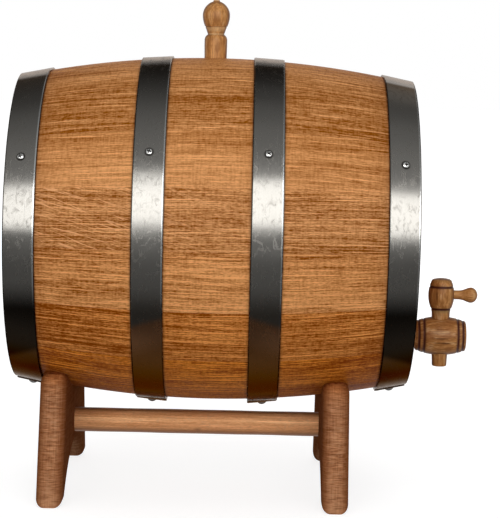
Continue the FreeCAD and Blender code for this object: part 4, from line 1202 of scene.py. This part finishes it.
BOARD_WOOD = stand_wood("board_wood", 0.70, 0.35, STAND_DARK, STAND_LIGHT, 1.0, 0.0)
for board_number, (node_name, board_place) in enumerate(BOARD_PLACES.items()):
    board_piece = cradle_board("sawn_" + node_name, board_place)
    mark_board(board_piece, board_number + 1)
    finish_piece(board_piece, BOARD_WOOD)
    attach(board_piece, "stand")
    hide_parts(node_name)

# ------------------------------------------------------------
# The rail is a turned round bar with its ends glued into blind holes in both boards. It keeps the boards
# upright and at their distance. It was left a little uneven by the lathe, and has a small knot in front.

# The rail's tones are much paler than the boards': painted light that lifts it out of the shade under the
# cask.
RAIL_DARK_BRIGHTENED = (0.480, 0.170, 0.050, 1)
RAIL_LIGHT_BRIGHTENED = (0.970, 0.485, 0.225, 1)
RAIL_KNOT = (CASK_X - 11.0 * MM, -RAIL_RADIUS * 0.85, RAIL_PLACE[2] - RAIL_RADIUS * 0.5)
RAIL_KNOT_SIZE = np.array([2.4, 1.7, 1.7]) * MM
RAIL_UNEVEN = 0.12 * MM

rail_run = np.linspace(RAIL_LOW, RAIL_HIGH, 90)
rail_radii = RAIL_RADIUS - RAIL_UNEVEN * (1 - np.sin(rail_run * 31.0) * np.sin(rail_run * 83.0 + 1.0))
rail_outline = np.r_[0.0, rail_radii, 0.0], np.r_[RAIL_LOW, rail_run, RAIL_HIGH]
rail_piece = turned_solid("turned_stand_rail", rail_outline, "X", RAIL_PLACE, 72)
mark_turning(rail_piece, RAIL_PLACE, "X", 5)
from_knot = np.linalg.norm((corners_of(rail_piece) - RAIL_KNOT) / RAIL_KNOT_SIZE, axis=1)
keep(rail_piece, knot=np.exp(-from_knot ** 2))
finish_piece(rail_piece, stand_wood("rail_wood", 0.66, 0.15, RAIL_DARK_BRIGHTENED, RAIL_LIGHT_BRIGHTENED, 0.0, 1.0))
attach(rail_piece, "stand")
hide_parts("stand_rail")

# ------------------------------------------------------------
# The studio: a pale floor, white walls that end in a dim ceiling, three softboxes side by side in front
# that the steel mirrors, and soft fill lamps before, above and behind the cask.

FLOOR_SIZE = 30.0
FLOOR_TONE = (0.38, 0.38, 0.38, 1)
WHITE = (1, 1, 1, 1)
FLOOR_GLOW = 0.80
FLOOR_GLOW_FAR = 0.95
FLOOR_GLOW_START = (-0.21, -0.09)
FLOOR_GLOW_FULL = (0.3, 2.0)
WALL_TOP = (0.38, 0.50)
CEILING_TURN = (-0.75, 0.75)
CEILING = (0.05, 0.70)
CEILING_SIDE = (0.12, 0.21)
CEILING_BACK = (0.30, 0.75)
CEILING_CORNER = (0.10, 0.60)
CEILING_RIGHT = (-0.2, 0.2, 0.2, 1.1)
WALL_LIGHT = 0.36


def seen_directly(tree):
    """1 for what the camera, metal or glass sees directly, 0 for the light that falls on the object."""
    path = add_node(tree, "LightPath")
    seen = math_step("MAXIMUM", path["Is Camera Ray"], path["Is Glossy Ray"])
    return math_step("MAXIMUM", seen, path["Is Transmission Ray"])


def pale_floor():
    """A wide flat floor that keeps the shadow of the cask and turns as white as the wall behind it."""
    half = FLOOR_SIZE / 2
    mesh = bpy.data.meshes.new("studio_floor")
    corners = [(-half, -half, 0), (half, -half, 0), (half, half, 0), (-half, half, 0)]
    mesh.from_pydata(corners, [], [(0, 1, 2, 3)])
    material, tree, shader = new_material("pale_floor")
    place = add_node(tree, "SeparateXYZ", {0: object_place(tree)})
    mirrored = seen_directly(tree) * ramp(place["Y"], *FLOOR_GLOW_START)
    seen = math_step("MAXIMUM", mirrored, add_node(tree, "LightPath")["Is Camera Ray"])
    glow = seen * ramp(place["Y"], *FLOOR_GLOW_FULL, FLOOR_GLOW, FLOOR_GLOW_FAR)
    feed(shader, {"Base Color": FLOOR_TONE, "Roughness": 0.9, "Specular IOR Level": 0.1,
                  "Emission Color": WHITE, "Emission Strength": glow})
    mesh.materials.append(material)
    in_scene("studio_floor", mesh)


def studio_walls():
    """Soft grey light from all round. Seen directly the walls are white up to their top. The ceiling above
    is bright in front and fades to the back, where its corners are brighter again, the right one most."""
    world = bpy.data.worlds.new("studio_walls")
    bpy.context.scene.world = world
    world.use_nodes = True
    tree = world.node_tree
    tree.nodes.clear()
    facing = add_node(tree, "SeparateXYZ", {0: add_node(tree, "TexCoord", (), "Generated")})
    ceiling = ramp(facing["Y"] * -1.0, *CEILING_TURN, *CEILING)
    corner = ramp(math_step("ABSOLUTE", facing["X"]), *CEILING_SIDE)
    corner = corner * ramp(facing["Y"], *CEILING_BACK, *CEILING_CORNER) * ramp(facing["X"], *CEILING_RIGHT)
    seen = add_node(tree, "Mix", {0: ramp(facing["Z"], *WALL_TOP), 2: 1.0, 3: ceiling + corner})
    strength = add_node(tree, "Mix", {0: seen_directly(tree), 2: WALL_LIGHT, 3: seen})
    light = add_node(tree, "Background", {"Color": WHITE, "Strength": strength})
    feed(tree.nodes.new("ShaderNodeOutputWorld"), {0: light})


def softbox(name, place, size, power, mirrored, roll=0.0):
    """A flat rectangular lamp at a place, facing the cask: either one that steel mirrors, or a fill that
    only lights."""
    lamp = bpy.data.lights.new(name, "AREA")
    lamp.shape, lamp.energy = "RECTANGLE", power
    lamp.size, lamp.size_y = size
    item = in_scene(name, lamp)
    item.location = place
    facing = (Vector(CASK_MIDDLE) - Vector(place)).to_track_quat("-Z", "Y").to_matrix()
    item.rotation_euler = (facing @ Matrix.Rotation(math.radians(roll), 3, "Z")).to_euler()
    item.visible_glossy, item.visible_diffuse = mirrored, not mirrored


pale_floor()
studio_walls()
softbox("window_softbox", (0.0, -1.95, 1.01), (1.2, 1.20), 25.5, True, -5.0)
softbox("left_softbox", (-1.03, -1.95, 0.84), (0.85, 1.12), 17.0, True)
softbox("right_softbox", (1.03, -1.95, 0.86), (0.85, 1.20), 18.5, True)
softbox("front_fill", (0.0, -2.2, 0.40), (2.4, 0.8), 25.0, False)
softbox("top_fill", (0.0, -0.6, 2.2), (2.0, 1.4), 13.0, False)
softbox("back_fill", (0.0, 2.0, 1.3), (2.0, 1.2), 14.0, False)

# ------------------------------------------------------------
# The camera stands in front of the near side, a little above the cask and tilted slightly down.

CAMERA_PLACE = (CASK_X + 26.75 * MM, -1570.2 * MM, CASK_Z + 137.42 * MM)
CAMERA_YAW, CAMERA_PITCH, CAMERA_ROLL = math.radians(0.14), math.radians(-5.91), math.radians(1.28)
FRAME_LONG_SIDE = 518
FOCAL_LENGTH = 1864.48 / FRAME_LONG_SIDE

lens = bpy.data.cameras.new("camera")
lens.lens = FOCAL_LENGTH * lens.sensor_width
camera = in_scene("camera", lens)
camera.matrix_world = (
    Matrix.Translation(CAMERA_PLACE) @ Matrix.Rotation(-CAMERA_YAW, 4, "Z")
    @ Matrix.Rotation(math.pi / 2 + CAMERA_PITCH, 4, "X") @ Matrix.Rotation(CAMERA_ROLL, 4, "Z"))
bpy.context.scene.camera = camera
bpy.context.scene.view_settings.view_transform = "Standard"
